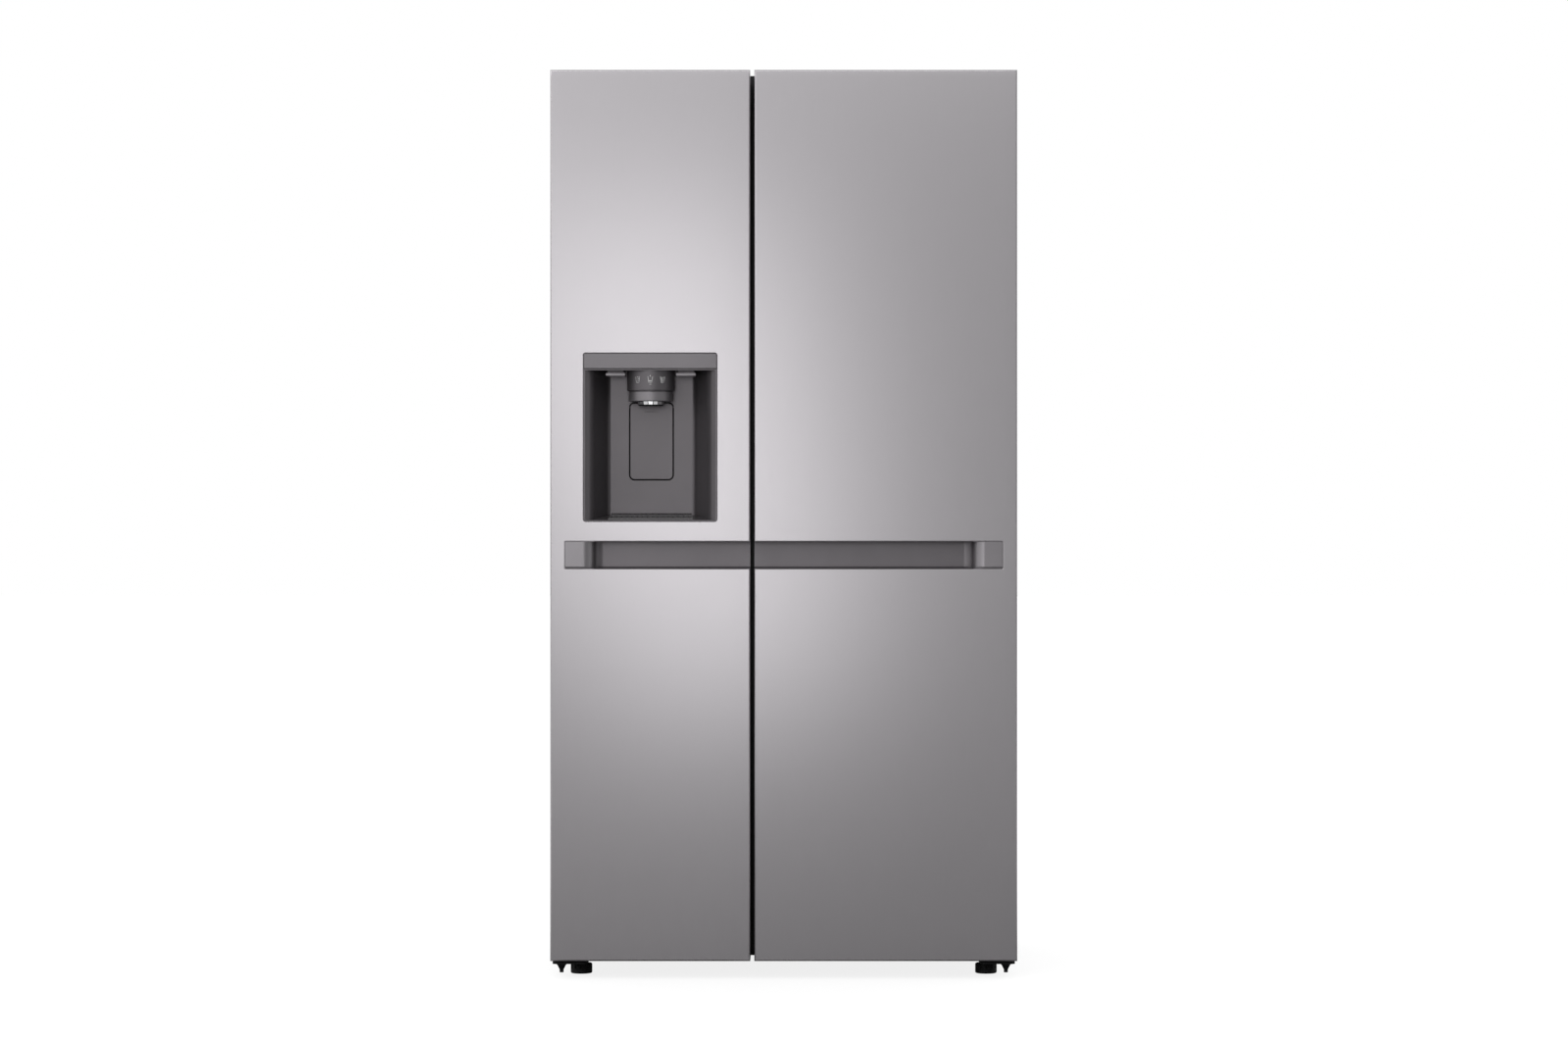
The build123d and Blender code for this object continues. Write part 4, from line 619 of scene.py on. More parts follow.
def paint(verts, look):
    """Gives the faces at these corners another finish of the piece, by its number."""
    for face in {face for vert in verts for face in vert.link_faces}:
        face.material_index = look


def add_box(bm, low, high, radius=0.0, segments=2, look=0):
    """Box between two corners with every edge rounded."""
    verts = bmesh.ops.create_cube(bm, size=1)["verts"]
    bmesh.ops.scale(bm, verts=verts, vec=Vector(high) - Vector(low))
    bmesh.ops.translate(bm, verts=verts, vec=(Vector(low) + Vector(high)) / 2)
    paint(verts, look)
    bm.normal_update()
    if radius:
        soften(bm, dict.fromkeys(edge for vert in verts for edge in vert.link_edges), radius, segments)


def add_sheet(bm, x0, x1, z0, z1, y):
    """Upright rectangle that faces the front."""
    verts = bmesh.ops.create_grid(bm, x_segments=1, y_segments=1, size=0.5)["verts"]
    bmesh.ops.rotate(bm, verts=verts, cent=(0, 0, 0), matrix=Matrix.Rotation(math.pi / 2, 3, "X"))
    bmesh.ops.scale(bm, verts=verts, vec=(x1 - x0, 1, z1 - z0))
    bmesh.ops.translate(bm, verts=verts, vec=((x0 + x1) / 2, y, (z0 + z1) / 2))
    return verts


def rectangle_loop(bm, x0, x1, z0, z1, y, corner=0.0, segments=5):
    """Edges of an upright rectangle, with round corners where a corner radius is given."""
    known = set(bm.verts)
    verts = add_sheet(bm, x0, x1, z0, z1, y)
    if corner:
        round_corners(bm, verts, corner, segments)
    face = next(vert for vert in bm.verts if vert not in known).link_faces[0]
    edges = face.edges[:]
    bmesh.ops.delete(bm, geom=[face], context="FACES_ONLY")
    return edges


def ring_of_loops(bm, limits, section, corner=0.0, closed=True):
    """Frame whose section is given by inset and depth pairs."""
    x0, x1, z0, z1 = limits
    loops = []
    for inset, y in section:
        radius = max(corner - inset * 0.5, LEAST_CORNER_R) if corner else 0.0
        loops.append(rectangle_loop(bm, x0 + inset, x1 - inset, z0 + inset, z1 - inset, y, radius))
    pairs = list(zip(loops, loops[1:]))
    if closed:
        pairs.append((loops[-1], loops[0]))
    for a, b in pairs:
        bmesh.ops.bridge_loops(bm, edges=a + b)


def plate_from_sheet(bm, corners, radius, segments, thickness):
    """Makes a lone upright sheet a plate with rounded corners and a softened front rim."""
    round_corners(bm, corners, radius, segments)
    rim = bm.edges[:]
    _, far, _ = draw_out(bm, rim, (0, thickness, 0))
    bmesh.ops.edgeloop_fill(bm, edges=far)
    soften(bm, rim, PLATE_EDGE_R)
    settle(bm)


def plan_line(bm, points, z, roundings):
    """Level line through the points, with the corners of the given numbers rounded."""
    line = [bm.verts.new((x, y, z)) for x, y in points]
    for pair in zip(line, line[1:]):
        bm.edges.new(pair)
    for index, radius in roundings:
        round_corners(bm, [line[index]], radius, 10)
    return bm.edges[:]


def along_x(points, x0, x1, easing=0.0):
    """New mesh of a closed outline, drawn out along the width; easing rounds all but its end corners."""
    bm = bmesh.new()
    verts = [bm.verts.new((x0, y, z)) for y, z in points]
    bm.faces.new(verts)
    if easing:
        round_corners(bm, verts[1:-1], easing, 5)
    made = bmesh.ops.extrude_face_region(bm, geom=bm.faces[:])["geom"]
    far = [part for part in made if isinstance(part, bmesh.types.BMVert)]
    bmesh.ops.translate(bm, verts=far, vec=(x1 - x0, 0, 0))
    bmesh.ops.recalc_face_normals(bm, faces=bm.faces)
    bm.normal_update()
    return bm


def spin_round(bm, geom, centre, axis, steps):
    bmesh.ops.spin(bm, geom=geom, cent=centre, axis=axis, angle=2 * math.pi, steps=steps, use_merge=True)


def turn_profile(bm, profile, centre, steps, easing=0.0):
    """Turns a line of radius and height pairs about an upright axis; easing rounds its inner corners."""
    x, y = centre
    others = set(bm.verts)
    line = [bm.verts.new((x, y - radius, z)) for radius, z in profile]
    for pair in zip(line, line[1:]):
        bm.edges.new(pair)
    if easing:
        round_corners(bm, line[1:-1], easing, 3)
    verts = [vert for vert in bm.verts if vert not in others]
    edges = dict.fromkeys(edge for vert in verts for edge in vert.link_edges)
    spin_round(bm, verts + list(edges), (x, y, 0), UP, steps)


def join(bm, other):
    """Moves another mesh's faces into this one."""
    mesh = bpy.data.meshes.new("joined")
    other.to_mesh(mesh)
    other.free()
    bm.from_mesh(mesh)
    bpy.data.meshes.remove(mesh)


def finish_piece(name, bm, looks, body, node=None, sharp=38):
    """Makes the mesh a piece at the origin, evenly shaded, that rides on a body and may stand for a node."""
    mesh = bpy.data.meshes.new(name)
    bm.to_mesh(mesh)
    bm.free()
    for look in looks:
        mesh.materials.append(finishes[look])
    for face in mesh.polygons:
        face.use_smooth = True
    mesh.set_sharp_from_angle(angle=math.radians(sharp))
    piece = bpy.data.objects.new(name, mesh)
    scene.collection.objects.link(piece)
    even = piece.modifiers.new("even_shading", "WEIGHTED_NORMAL")
    even.keep_sharp = True
    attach(piece, body)
    if node:
        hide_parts(node)
    return piece


def add_wall(piece, thickness, even=False):
    """Gives a sheet its thickness inwards, ahead of the even shading."""
    wall = piece.modifiers.new("wall", "SOLIDIFY")
    wall.thickness = thickness
    wall.offset = -1
    wall.use_even_offset = even
    piece.modifiers.move(1, 0)


# Doors
def door_sheet(name, node, body, low, high, grip_end, free_x, opening=None):
    """Folded front sheet with side returns, the grip's notch and the dispenser's opening."""
    bm = bmesh.new()
    add_box(bm, low, high)
    lip_z = high.z - LIP_RISE
    hem_y = front_y + HEM
    notch_y = front_y + GRIP_DEPTH + NOTCH_ROOM
    notch = sorted((grip_end, free_x))
    cuts = [("z", grip_z0), ("z", grip_z1), ("z", lip_z), ("x", grip_end), ("y", hem_y), ("y", notch_y)]
    corners = [(grip_end, grip_z0, NOTCH_R), (grip_end, grip_z1, NOTCH_R)]
    if opening:
        cuts += [("x", x) for x in opening[:2]] + [("z", z) for z in opening[2:]]
        corners += [(x, z, OPENING_R) for x in opening[:2] for z in opening[2:]]
    for axis, place in cuts:
        cut(bm, axis, place)

    def left_open(face):
        middle = face.calc_center_median()
        front = face.normal.y < -0.5
        beside_grip = within(middle.z, grip_z0, grip_z1)
        back = face.normal.y > 0.5
        end = middle.y > hem_y and (abs(face.normal.z) > 0.5 or middle.z > lip_z)
        notch_front = front and beside_grip and within(middle.x, *notch)
        notch_side = beside_grip and near(middle.x, free_x) and middle.y < notch_y
        hole = opening and front and within(middle.x, *opening[:2]) and within(middle.z, *opening[2:])
        return back or end or notch_front or notch_side or hole

    def folds():
        return [edge for edge in bm.edges if creased(edge, DOOR_FOLD) and lies_at(edge, y=front_y)]

    def outside(edge):
        middle = (edge.verts[0].co + edge.verts[1].co) / 2
        return any(near(middle.x, end.x) or near(middle.z, end.z) for end in (low, high))

    bmesh.ops.delete(bm, geom=[face for face in bm.faces if left_open(face)], context="FACES")
    rim = [edge for edge in open_edges(bm) if lies_at(edge, y=front_y)]
    draw_out(bm, rim, (0, HEM / 2, 0))
    for x, z, radius in corners:
        upright = [edge for edge in bm.edges if lies_at(edge, x=x, z=z)]
        soften(bm, [edge for edge in upright if any(near(v.co.y, front_y) for v in edge.verts)], radius, 6)
    soften(bm, [edge for edge in folds() if outside(edge)], DOOR_EDGE_R, 5)
    soften(bm, folds(), OPENING_EDGE_R)
    settle(bm, FRONT)
    piece = finish_piece(name, bm, ["door_silver"], body, node, sharp=50)
    add_wall(piece, SHEET)


def grip_insert(name, node, body, outer_x, free_x):
    """Moulded insert of a recessed grip: end plate, rolled ramp, floor and a foot that falls back."""
    bm = bmesh.new()
    way = 1 if free_x > outer_x else -1
    face_y = front_y + GRIP_SINK
    flange_y = face_y + GRIP_FLANGE
    floor_y = front_y + GRIP_DEPTH
    start = outer_x + way * GRIP_SEAM
    ramp_x = outer_x + way * GRIP_FLAT
    low_z = grip_z0 + GRIP_SEAM
    high_z = grip_z1 - GRIP_SEAM
    foot_z = low_z + GRIP_FOOT_H
    plan = ((start, face_y), (ramp_x, face_y), (ramp_x + way * GRIP_RAMP_RUN, floor_y), (free_x, floor_y))
    chain = plan_line(bm, plan, foot_z, ((2, GRIP_FLOOR_R), (1, GRIP_FLAT_R)))

    def draw_to_flange(edges):
        for vert in draw_out(bm, edges)[0]:
            vert.co.y = flange_y

    def under_ceiling(edge):
        at_ceiling = any(near(vert.co.z, high_z) for vert in edge.verts)
        return at_ceiling and max(vert.co.y for vert in edge.verts) < floor_y - GRIP_CREASE_STOP

    for shift in ((0, 0, high_z - foot_z), (0, GRIP_FOOT_SET, low_z - foot_z)):
        draw_to_flange(draw_out(bm, chain, shift)[1])
    draw_to_flange([edge for edge in open_edges(bm) if lies_at(edge, x=start)])
    merge(bm)
    bmesh.ops.dissolve_degenerate(bm, edges=bm.edges, dist=ON_PLANE)
    for vert in draw_out(bm, [edge for edge in open_edges(bm) if lies_at(edge, y=flange_y)])[0]:
        vert.co.z += GRIP_SEAM * (1 if vert.co.z > foot_z else -1)
        if near(vert.co.x, start):
            vert.co.x = outer_x
    settle(bm, FRONT)
    ends = [edge for edge in bm.edges if creased(edge, SQUARE_FOLD) and lies_at(edge, x=start)]
    soften(bm, [edge for edge in ends if height_of(edge) < TOUCH], GRIP_CORNER_R, 4)
    creases = [
        edge for edge in bm.edges
        if creased(edge, SLIGHT_FOLD) and under_ceiling(edge)
        or creased(edge, SQUARE_FOLD) and lies_at(edge, x=start, y=face_y)
    ]
    soften(bm, creases, GRIP_CREASE_R)
    settle(bm, FRONT)
    # Faces past the ramp's start take the darker floor finish, painted shade of the recess
    for face in bm.faces:
        face.material_index = int((face.calc_center_median().x - outer_x) * way > GRIP_PAINTED_SHADE_FROM)
    finish_piece(name, bm, ["grip_grey", "grip_floor_painted_shade"], body, node, sharp=12)


# Dispenser
def open_pocket(bm, plan, roundings, z0, z1, mouth_y):
    """Wall drawn up from a plan line, with floor and ceiling brought forward to the mouth."""
    lower = plan_line(bm, plan, z0, roundings)
    _, upper, _ = draw_out(bm, lower, (0, 0, z1 - z0))
    for edges in (lower, upper):
        deep = [edge for edge in edges if max(vert.co.y for vert in edge.verts) > mouth_y + TOUCH]
        for vert in draw_out(bm, deep)[0]:
            vert.co.y = mouth_y
    merge(bm)
    bmesh.ops.dissolve_degenerate(bm, edges=bm.edges, dist=ON_PLANE)


def dispenser_tub():
    """Recess with flared sides, a sloped floor, the paddle's pocket and a rim that fills the opening."""
    bm = bmesh.new()
    x0 = fascia_low.x + HOUSING_SEAM
    x1 = fascia_high.x - HOUSING_SEAM
    mouth_x0 = x0 + HOUSING_RIM
    mouth_x1 = x1 - HOUSING_RIM
    mouth_y = front_y + HOUSING_SEAM
    flare_y = mouth_y + HOUSING_FLARE_Y
    z0 = housing_low.z + HOUSING_RIM
    z1 = fascia_low.z - HOUSING_RIM
    half_back = HOUSING_BACK_W / 2
    plan = (
        (mouth_x0, mouth_y), (mouth_x0 + HOUSING_FLARE_X, flare_y), (dispenser_x - half_back, housing_back_y),
        (dispenser_x + half_back, housing_back_y), (mouth_x1 - HOUSING_FLARE_X, flare_y), (mouth_x1, mouth_y),
    )
    roundings = ((4, HOUSING_FLARE_R), (3, HOUSING_CORNER_R), (2, HOUSING_CORNER_R), (1, HOUSING_FLARE_R))
    open_pocket(bm, plan, roundings, z0, z1, mouth_y)
    for vert in bm.verts:
        if near(vert.co.z, z0):
            vert.co.z += HOUSING_FLOOR_RISE * (vert.co.y - mouth_y) / HOUSING_DEPTH

    # Rim that fills the opening, turned back and out to the seam
    border, _, _ = draw_out(bm, open_edges(bm))
    for vert in border:
        if near(vert.co.x, mouth_x0) or near(vert.co.x, mouth_x1):
            vert.co.x += math.copysign(HOUSING_RIM, vert.co.x - dispenser_x)
        vert.co.z += math.copysign(HOUSING_RIM - HOUSING_SEAM, vert.co.z - (z0 + z1) / 2)
    corners = [vert for vert in border if vert.co.z < z0 and (near(vert.co.x, x0) or near(vert.co.x, x1))]
    round_corners(bm, corners, OPENING_R - HOUSING_SEAM)
    _, turned_back, _ = draw_out(bm, open_edges(bm), (0, HOUSING_RIM_TURN, 0))
    for vert in draw_out(bm, turned_back)[0]:
        vert.co.x += math.copysign(HOUSING_SEAM, vert.co.x - dispenser_x)
        if vert.co.z < z0:
            vert.co.z -= HOUSING_SEAM
    settle(bm, FRONT)
    lips = [edge for edge in bm.edges if creased(edge, SLIGHT_FOLD) and lies_at(edge, y=mouth_y)]
    soften(bm, lips, HOUSING_LIP_R)

    def back_faces():
        return [face for face in bm.faces if face.normal.y < -0.99 and lies_at(face, y=housing_back_y)]

    # Groove above the floor, painted black as the shade of the shadow line there, and the pocket behind the
    # paddle, whose walls and floor take the black finish
    for z in (GROOVE_Z, GROOVE_Z + GROOVE_H):
        cut(bm, "z", z, back_faces())
    panel = max(back_faces(), key=lambda face: face.calc_area())
    outline = panel.edges[:]
    bmesh.ops.delete(bm, geom=[panel], context="FACES_ONLY")
    half_mouth = PADDLE_HALF_W + PADDLE_GAP
    mouth = rectangle_loop(
        bm, dispenser_x - half_mouth, dispenser_x + half_mouth, paddle_low.z - PADDLE_GAP,
        paddle_high.z + PADDLE_GAP, housing_back_y, PADDLE_R + PADDLE_GAP, 8,
    )
    bmesh.ops.triangle_fill(bm, edges=outline + mouth, use_beauty=True, normal=FRONT)
    _, deep, walls = draw_out(bm, mouth, (0, PADDLE_POCKET, 0))
    for face in walls + bmesh.ops.edgeloop_fill(bm, edges=deep)["faces"]:
        face.material_index = 1
    settle(bm, FRONT)
    groove = [
        face for face in back_faces() if within(face.calc_center_median().z, GROOVE_Z, GROOVE_Z + GROOVE_H)
    ]
    bmesh.ops.inset_region(bm, faces=groove, thickness=GROOVE_DRAFT, depth=-GROOVE_DEPTH, use_boundary=True)
    # Painted shade: the groove's faces take the black finish
    for face in groove:
        face.material_index = 1
    settle(bm, FRONT)

    # Pale ledges on both sides of the spout, under their blocks
    ledge_y = housing_back_y - LEDGE_REACH
    for side in (-1, 1):
        x_low, x_high = sorted((dispenser_x + side * LEDGE_NEAR, dispenser_x + side * LEDGE_FAR))
        add_box(
            bm, (x_low + LEDGE_BLOCK_SET, ledge_y + LEDGE_BLOCK_FRONT_SET, LEDGE_Z - LEDGE_BLOCK_LAP),
            (x_high - LEDGE_BLOCK_SET, housing_back_y, z1 + LEDGE_BLOCK_ROOT), LEDGE_BLOCK_R,
        )
        add_box(
            bm, (x_low, ledge_y, LEDGE_Z - LEDGE_H), (x_high, housing_back_y, LEDGE_Z), LEDGE_R, 4, look=2
        )
    finish_piece(
        "dispenser_tub", bm, ["dispenser_grey", "black_plastic", "ledge_grey"], "freezer_door",
        "dispenser_housing", sharp=45,
    )


def dispenser_fascia():
    """Plate above the recess, with a sheet behind its seam."""
    bm = bmesh.new()
    face_y = fascia_low.y + FASCIA_SINK
    verts = add_sheet(
        bm, fascia_low.x + HOUSING_SEAM, fascia_high.x - HOUSING_SEAM, fascia_low.z,
        fascia_high.z - HOUSING_SEAM, face_y,
    )
    top = [vert for vert in verts if not near(vert.co.z, fascia_low.z)]
    plate_from_sheet(bm, top, OPENING_R - HOUSING_SEAM, 6, fascia_high.y - face_y)
    add_sheet(bm, fascia_low.x, fascia_high.x, fascia_low.z, fascia_high.z, fascia_low.y + HEM / 2)
    finish_piece("dispenser_fascia_panel", bm, ["fascia_grey"], "freezer_door", "dispenser_fascia", sharp=45)


def dispenser_spout():
    """Ring with the touch keys, a groove and a collar, cut off at the recess's back."""
    bm = bmesh.new()
    ring_z = spout_high.z - SPOUT_RING_H
    groove_z = ring_z - SPOUT_GROOVE
    groove_r = SPOUT_R - SPOUT_GROOVE_DEPTH
    bore_r = NOZZLE_R - NOZZLE_GAP
    profile = (
        (SPOUT_R, spout_high.z), (SPOUT_R, ring_z), (groove_r, ring_z), (groove_r, groove_z),
        (SPOUT_COLLAR_R, groove_z), (SPOUT_COLLAR_R, spout_low.z), (bore_r, spout_low.z),
        (bore_r, spout_low.z + SPOUT_BORE_H),
    )
    turn_profile(bm, profile, (dispenser_x, spout_y), 120, SPOUT_EASING)
    settle(bm)
    for face in bm.faces:
        face.material_index = int(face.calc_center_median().z < groove_z)
    trim(bm, housing_back_y, 1)
    look_along(bm, min(bm.faces, key=lambda face: face.calc_center_median().y), FRONT)
    finish_piece(
        "dispenser_spout_ring", bm, ["spout_grey", "collar_grey"], "freezer_door", "dispenser_spout", sharp=40
    )


def add_stroke(bm, *points):
    """Flat stroke of a pictogram from its corners, given across the ring and up, in millimetres."""
    bm.faces.new([bm.verts.new((across / 1000, 0, up / 1000)) for across, up in points])


def add_bar(bm, x0, x1, z0, z1):
    add_stroke(bm, (x0, z0), (x1, z0), (x1, z1), (x0, z1))


def add_glass(bm, top, bottom, height, line):
    """Drinking glass in outline, from half its width at the top and bottom."""
    inner = bottom - line
    add_stroke(bm, (-top, height), (-top + line, height), (-inner, 0), (-bottom, 0))
    add_stroke(bm, (top - line, height), (top, height), (bottom, 0), (inner, 0))
    add_stroke(bm, (-inner, 0), (-inner, line), (inner, line), (inner, 0))


def dispenser_pictograms():
    """Three drinking glasses: crushed ice, water and cubes."""
    bm = bmesh.new()
    ring_r = SPOUT_R + PICTOGRAM_PROUD
    for kind, angle in PICTOGRAM_TURNS.items():
        icon = bmesh.new()
        add_glass(icon, 5.2, 3.6, 12.5, 0.9)
        if kind == "crushed":
            for u, v, lean in (
                (-2.0, 3.0, 0.5), (1.2, 4.2, -0.4), (-1.6, 7.4, -0.5), (1.6, 8.4, 0.6), (0.6, 11.4, 0.3)
            ):
                add_stroke(
                    icon, (u - 1.1, v - lean), (u + 0.9, v - 1.0), (u + 1.1, v + lean), (u - 0.5, v + 1.1)
                )
        elif kind == "cubes":
            for u, v in ((1.5, 3.2), (1.6, 6.6), (1.7, 10.0)):
                for x in (-u, u):
                    add_bar(icon, x - 1.1, x + 1.1, v - 1.2, v + 1.2)
        else:
            add_stroke(icon, (-3.4, 2.4), (3.4, 2.4), (3.7, 4.8), (-3.7, 4.8))
            add_stroke(icon, (-1.2, 12.6), (0, 11.4), (1.2, 12.6), (0, 15.6))
            add_bar(icon, -2.2, 2.2, -3.6, -2.7)
        for vert in icon.verts:
            turn = angle + vert.co.x / SPOUT_R
            x = dispenser_x + ring_r * math.sin(turn)
            y = spout_y - ring_r * math.cos(turn)
            vert.co = (x, y, PICTOGRAM_Z + vert.co.z)
        join(bm, icon)
    settle(bm)
    for face in bm.faces:
        if face.normal.y > 0:
            face.normal_flip()
    piece = finish_piece("touch_pictograms", bm, ["pictogram_grey"], "freezer_door")
    film = piece.modifiers.new("film", "SOLIDIFY")
    film.thickness = PICTOGRAM_FILM
    film.offset = 0


def dispenser_nozzle():
    """Chromed faceted outlet between a dark core and a dark lip."""
    bm = bmesh.new()
    height = nozzle_high.z - nozzle_low.z - NOZZLE_LIP_H
    bmesh.ops.create_cone(
        bm, cap_ends=True, segments=NOZZLE_SIDES, radius1=NOZZLE_TIP_R, radius2=NOZZLE_R, depth=height,
        matrix=Matrix.Translation((dispenser_x, spout_y, nozzle_high.z - height / 2))
        @ Matrix.Rotation(math.pi / NOZZLE_SIDES, 4, "Z"),
    )
    bm.normal_update()
    facets = [face for face in bm.faces if abs(face.normal.z) < 0.5]
    bmesh.ops.inset_individual(bm, faces=facets, thickness=FACET_SEAM, depth=0.0)
    bmesh.ops.inset_individual(bm, faces=facets, thickness=FACET_DRAFT, depth=FACET_RISE)
    for face in facets:
        face.material_index = 1
    # The lip and the bore inside it take the black finish, as painted shade at the outlet's opening
    lip = (
        (NOZZLE_BORE_R, nozzle_low.z + NOZZLE_BORE_H), (NOZZLE_BORE_R, nozzle_low.z),
        (NOZZLE_TIP_R - 2 * NOZZLE_GAP, nozzle_low.z),
        (NOZZLE_TIP_R - NOZZLE_GAP, nozzle_low.z + NOZZLE_LIP_H + NOZZLE_LIP_LAP),
    )
    turn_profile(bm, lip, (dispenser_x, spout_y), 48)
    settle(bm)
    finish_piece(
        "dispenser_outlet", bm, ["black_plastic", "nozzle_chrome"], "freezer_door", "dispenser_nozzle",
        sharp=25,
    )


def dispenser_paddle():
    """Press plate with a sunk mark, on two pins."""
    bm = bmesh.new()
    left_x = dispenser_x - PADDLE_HALF_W
    right_x = dispenser_x + PADDLE_HALF_W
    verts = add_sheet(bm, left_x, right_x, paddle_low.z, paddle_high.z, housing_back_y)
    plate_from_sheet(bm, verts[0].link_faces[0].verts[:], PADDLE_R, 8, PADDLE_THICK)
    mark_x = (dispenser_x - PADDLE_MARK_HALF_W, dispenser_x + PADDLE_MARK_HALF_W)
    mark_z = (PADDLE_MARK_Z, PADDLE_MARK_Z + PADDLE_MARK_H)

    def front_faces():
        return [face for face in bm.faces if face.normal.y < -0.99]

    for x in mark_x:
        cut(bm, "x", x, front_faces())
    for z in mark_z:
        cut(bm, "z", z, front_faces())
    mark = []
    for face in front_faces():
        middle = face.calc_center_median()
        if within(middle.x, *mark_x) and within(middle.z, *mark_z):
            mark.append(face)
    bmesh.ops.inset_individual(bm, faces=mark, thickness=PADDLE_MARK_DEPTH, depth=-PADDLE_MARK_DEPTH)
    for x in (left_x, right_x):
        place = (x, housing_back_y + PADDLE_THICK / 2, PADDLE_PIN_Z)
        bmesh.ops.create_cone(
            bm, cap_ends=True, segments=24, radius1=PADDLE_PIN_R, radius2=PADDLE_PIN_R, depth=PADDLE_PIN_L,
            matrix=Matrix.Translation(place) @ Matrix.Rotation(math.pi / 2, 4, "Y"),
        )
    finish_piece(
        "dispenser_press_plate", bm, ["dispenser_grey"], "dispenser_paddle", "dispenser_paddle", sharp=40
    )


def drip_tray():
    """Sloped drip grid: the deck falls to the front and its slots are sunk."""
    bm = bmesh.new()
    add_box(bm, tray_low, tray_high)
    for vert in bm.verts:
        if near(vert.co.z, tray_high.z) and near(vert.co.y, tray_low.y):
            vert.co.z = tray_low.z + TRAY_FRONT_H
    bm.normal_update()
    slot_y = (tray_low.y + TRAY_MARGIN, tray_high.y - TRAY_MARGIN)
    columns = TRAY_SLOTS * 2 + 1
    pitch = (tray_high.x - tray_low.x) / columns

    def deck():
        return [face for face in bm.faces if face.normal.z > 0.9]

    def upright(edge):
        slopes = sum(abs(face.normal.z) for face in edge.link_faces)
        return height_of(edge) > TRAY_CORNER_MIN and creased(edge, TRAY_FOLD) and slopes < 1.2

    for y in slot_y:
        cut(bm, "y", y, deck())
    for index in range(1, columns):
        cut(bm, "x", tray_low.x + index * pitch, deck())
    slots = []
    for face in deck():
        middle = face.calc_center_median()
        if int((middle.x - tray_low.x) / pitch) % 2 and within(middle.y, *slot_y):
            slots.append(face)
    bmesh.ops.inset_individual(bm, faces=slots, thickness=TRAY_SLOT_SEAM, depth=0.0)
    bmesh.ops.inset_individual(bm, faces=slots, thickness=TRAY_SLOT_DRAFT, depth=-TRAY_SLOT_DEPTH)
    for face in slots:
        face.material_index = 1
    bm.normal_update()
    soften(bm, [edge for edge in bm.edges if upright(edge)], TRAY_CORNER_R)
    settle(bm)
    finish_piece("drip_grid", bm, ["tray_grey", "black_plastic"], "drip_tray", "drip_tray", sharp=35)


# Cabinet outside
def cabinet_wrapper():
    """Sides and top folded from one painted sheet, with the front flange turned in."""
    bm = bmesh.new()
    add_box(bm, case_low, case_high)
    ends = [face for face in bm.faces if abs(face.normal.y) > 0.5 or face.normal.z < -0.5]
    bmesh.ops.delete(bm, geom=ends, context="FACES")
    for vert in draw_out(bm, [edge for edge in open_edges(bm) if lies_at(edge, y=case_front_y)])[0]:
        vert.co.x -= math.copysign(FLANGE, vert.co.x)
        if near(vert.co.z, case_high.z):
            vert.co.z -= FLANGE
    bm.normal_update()
    soften(bm, [edge for edge in bm.edges if creased(edge, SQUARE_FOLD)], CASE_EDGE_R, 5)
    level = [face for face in bm.faces if abs(face.normal.z) > 0.9]
    look_along(bm, max(level, key=lambda face: face.calc_center_median().z), UP)
    piece = finish_piece("cabinet_wrapper", bm, ["case_paint"], "cabinet", "outer_case", sharp=50)
    add_wall(piece, SHEET)


def back_sheet():
    """Rear sheet with three shallow pressed fields and the screws along its edges."""
    low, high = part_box("back_panel")
    bm = bmesh.new()
    add_sheet(bm, low.x, high.x, low.z, high.z, high.y)
    bmesh.ops.reverse_faces(bm, faces=bm.faces)
    pitch = (high.z - low.z - BACK_MARGIN) / BACK_FIELDS
    field_x = (low.x + BACK_MARGIN, high.x - BACK_MARGIN)
    field_z = [low.z + BACK_MARGIN + index * pitch for index in range(BACK_FIELDS)]
    for x in field_x:
        cut(bm, "x", x)
    for z in field_z:
        cut(bm, "z", z)
        cut(bm, "z", z + pitch - BACK_MARGIN)
    pressed = []
    for face in bm.faces:
        middle = face.calc_center_median()
        if within(middle.x, *field_x) and any(within(middle.z, z, z + pitch - BACK_MARGIN) for z in field_z):
            pressed.append(face)
    for slope, depth in BACK_PRESSINGS:
        bmesh.ops.inset_individual(bm, faces=pressed, thickness=slope, depth=-depth)
    screw_pitch = (high.z - low.z - 2 * BACK_SCREW_END) / (BACK_SCREWS - 1)
    for side in (-1, 1):
        for index in range(BACK_SCREWS):
            screw_z = low.z + BACK_SCREW_END + index * screw_pitch
            place = (side * (high.x - BACK_SCREW_IN), high.y - SCREW_H / 2, screw_z)
            bmesh.ops.create_cone(
                bm, cap_ends=True, segments=SCREW_SIDES, radius1=SCREW_R, radius2=SCREW_R * SCREW_TAPER,
                depth=SCREW_H, matrix=Matrix.Translation(place) @ Matrix.Rotation(-math.pi / 2, 4, "X"),
            )
            # The mesh's last faces, as many as a head has with its two caps
            for face in bm.faces[:][-SCREW_SIDES - 2:]:
                face.material_index = 1
    merge(bm)
    finish_piece("rear_sheet", bm, ["galvanised_sheet", "pin_steel"], "cabinet", "back_panel", sharp=30)


